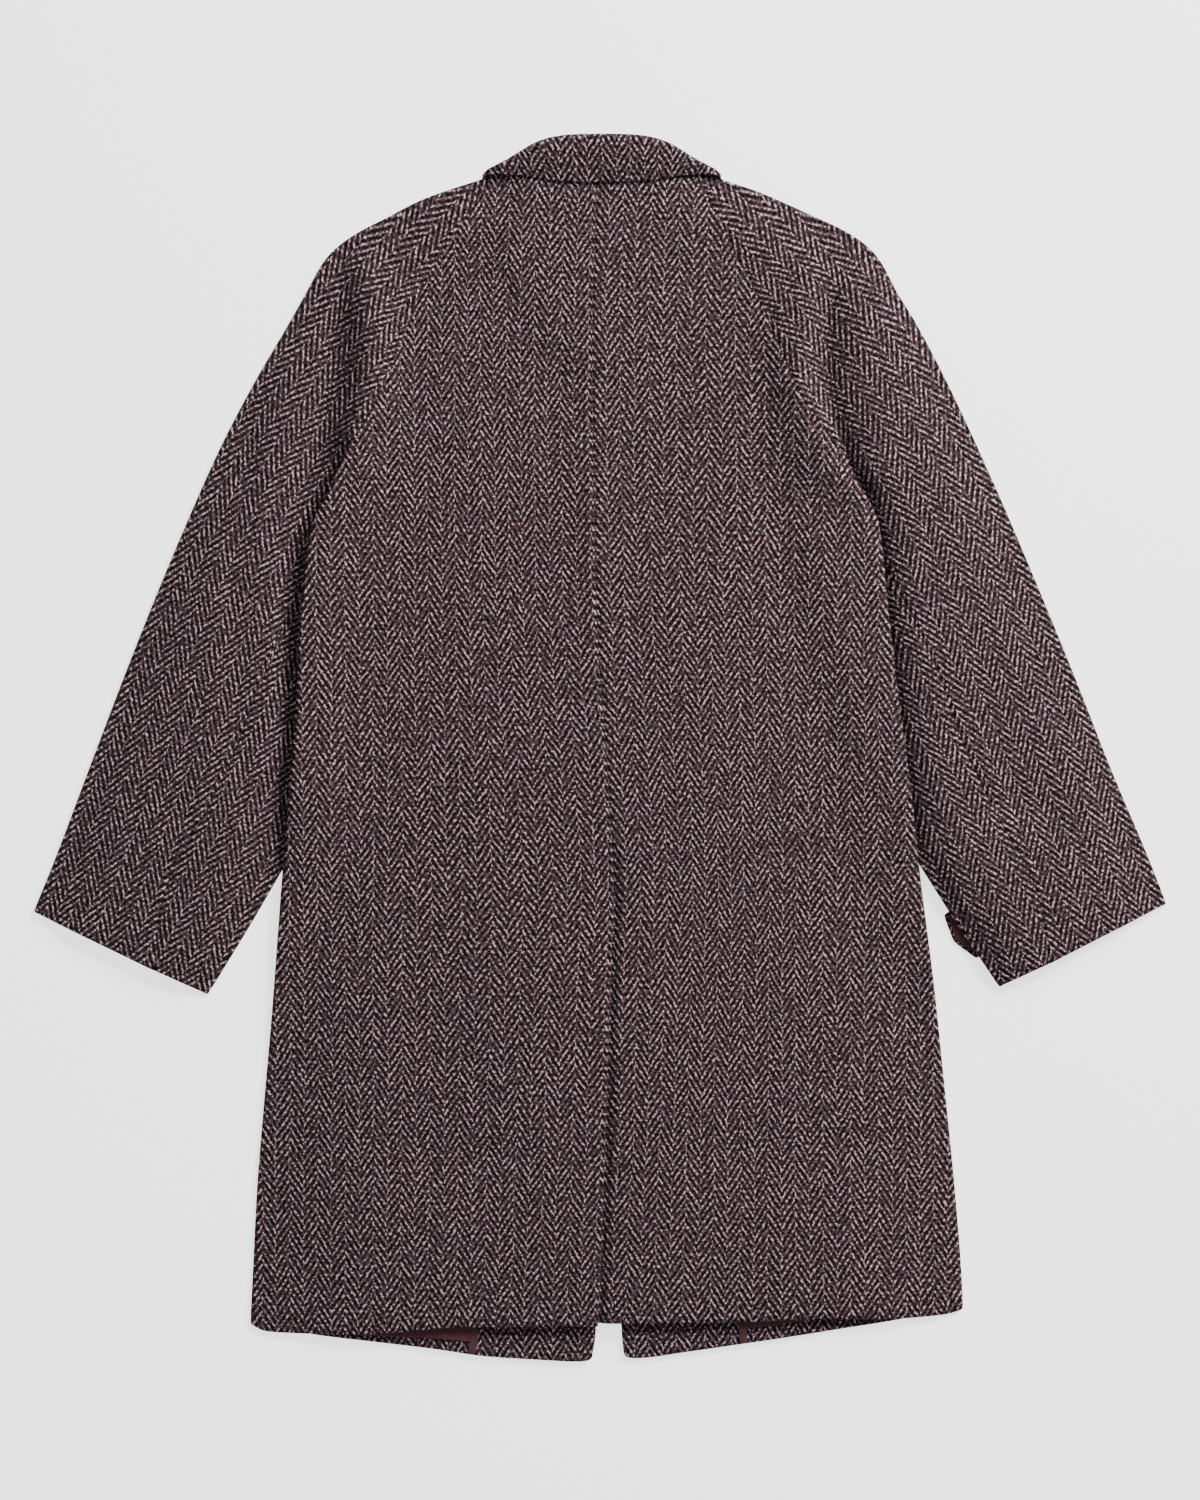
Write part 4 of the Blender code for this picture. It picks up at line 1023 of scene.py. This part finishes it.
for turn_length, section in zip(girth, zip(*sections)):
    across, height, turn, fold, length, drop, roll, neck = section
    out = np.array((math.sin(math.radians(turn)), 0.0, math.cos(math.radians(turn))))
    base = np.array((COLLAR_MIDDLE + across, fold + roll, height))
    row = []
    for step in LEAF_ROWS:
        row.append(base + np.array((0.0, (length - roll) * step, 0.0)) - out * drop * step ** LEAF_BOW)
    for angle in np.radians(np.arange(15.0, 181.0, 15.0)):
        run = np.array((0.0, -roll * math.sin(angle), 0.0))
        row.append(base + run - out * roll * (1.0 - math.cos(angle)))
    level = row[-1][2]
    if abs(turn) < COLLAR_STEEP:
        side = "left" if across < 0.0 else "right"
        level = float(back_height(side, np.array((row[-1][0],)), np.array((neck,)))[0])
    sewn = 1.0 - ease(abs(turn), 2.0 * COLLAR_STEEP, 4.0 * COLLAR_STEEP)
    end = np.array((row[-1][0], neck + STAND_UNDER[0] * sewn, level)) - out * STAND_UNDER[1] * sewn
    run = (end - row[-1]) / np.linalg.norm(end - row[-1])
    apart = (TAIL + COLLAR_SEAM) * (1.0 - sewn) - STAND_LAP[0] * sewn
    start = row[-1] + run * apart - out * STAND_LAP[1] * sewn
    row.append(row[-1] + run * TAIL)
    leaf.append(row)
    stand.append([start + (end - start) * step for step in np.linspace(0.0, 1.0, 5)])
    lengths = np.cumsum(np.linalg.norm(np.diff(np.array(row), axis=0), axis=1))
    leaf_weave.append([(turn_length, along_leaf) for along_leaf in (0.0, *lengths)])
    stand_weave.append([(turn_length, 0.01 * step) for step in range(5)])
leaf_weave = np.moveaxis(np.array(leaf_weave), 2, 0)
stand_weave = np.moveaxis(np.array(stand_weave), 2, 0)
piece = cloth("collar_leaf_cloth", np.array(leaf), leaf_weave, LEAF, tweed, 1)
place(piece, "collar_leaf")
piece = cloth("collar_stand_cloth", np.array(stand), stand_weave, TWEED, tweed, 1)
place(piece, "collar_stand")

# Cuff tab: a strap of tweed with a blunt point, backed with lining and carried round the right cuff. Only
# its end shows, lining upwards, where it comes out from under the inside of the arm.
TAB_POINT = 0.0075
TAB_BORDER = 0.0030
TAB_WALL = 0.0019
TAB_SHORT = 0.0016
TAB_BLUNT = 0.1
TAB_FLAT_LENGTH = 0.065
run = TAB_TIP - TAB_ROOT
tab_length = np.linalg.norm(run)
run = run / tab_length
square = np.array((-run[1], run[0]))
layers = (
    ("cuff_tab_right", "tweed", tweed, TAB_WALL, 0.0, 0.0014),
    ("cuff_tab_lining_right", "lining", satin, LINING, TAB_BORDER, 0.0029),
)
for name, slot, material, wall, border, height in layers:
    sides = np.linspace(-1.0, 1.0, 25)
    forward = np.linspace(0.0, 1.0, 26)
    far = tab_length - TAB_SHORT - border - TAB_POINT * (np.hypot(sides, TAB_BLUNT) - TAB_BLUNT)
    flat = TAB_ROOT + forward[:, None, None] * far[None, :, None] * run
    flat = flat + (sides * (TAB_HALF_WIDTH - border))[None, :, None] * square
    level = height + 0.0003 * np.sin(forward * 7.0)[:, None] * np.cos(sides * 2.0)[None, :]
    points = np.concatenate((flat, level[:, :, None]), axis=2)
    weave = np.meshgrid(sides * TAB_HALF_WIDTH, forward * TAB_FLAT_LENGTH)
    piece = cloth(f"{name}_cloth", points, weave, wall, material, 1)
    place(piece, name)

# Studio: a plain pale surface under the coat, a broad soft light above its collar end and a weak one
# opposite, and a camera that looks straight down.
floor_mesh = bpy.data.meshes.new("floor")
ground = bmesh.new()
bmesh.ops.create_grid(ground, x_segments=1, y_segments=1, size=6.0)
ground.to_mesh(floor_mesh)
ground.free()
paper = bpy.data.materials.new("pale_surface")
paper.use_nodes = True
paper_shader = paper.node_tree.nodes["Principled BSDF"]
paper_shader.inputs["Base Color"].default_value = (0.80, 0.81, 0.825, 1.0)
paper_shader.inputs["Roughness"].default_value = 0.9
paper_shader.inputs["Specular IOR Level"].default_value = 0.1
paper_shader.inputs["Emission Color"].default_value = (0.98, 0.99, 1.0, 1.0)
paper_shader.inputs["Emission Strength"].default_value = 1.8
floor_mesh.materials.append(paper)
floor = bpy.data.objects.new("floor", floor_mesh)
bpy.context.scene.collection.objects.link(floor)

world = bpy.data.worlds.new("studio")
world.use_nodes = True
world.node_tree.nodes["Background"].inputs["Color"].default_value = (0.97, 0.985, 1.0, 1.0)
world.node_tree.nodes["Background"].inputs["Strength"].default_value = 0.42
bpy.context.scene.world = world
for name, spot, size, power in (("key", (2.2, 2.5, 2.1), 1.6, 384.0), ("fill", (-0.8, -1.6, 2.6), 2.2, 10.0)):
    lamp = bpy.data.lights.new(name, "AREA")
    lamp.size = size
    lamp.energy = power
    light = bpy.data.objects.new(name, lamp)
    light.location = spot
    aim = np.array(spot) / np.linalg.norm(spot)
    light.rotation_euler = (math.atan2(math.hypot(aim[0], aim[1]), aim[2]), 0.0, math.atan2(aim[0], -aim[1]))
    bpy.context.scene.collection.objects.link(light)

view = bpy.data.cameras.new("camera")
view.lens = 85.0
view.sensor_width = 36.0
camera = bpy.data.objects.new("camera", view)
camera.location = (0.0, -0.0021, 3.127)
bpy.context.scene.collection.objects.link(camera)
bpy.context.scene.camera = camera
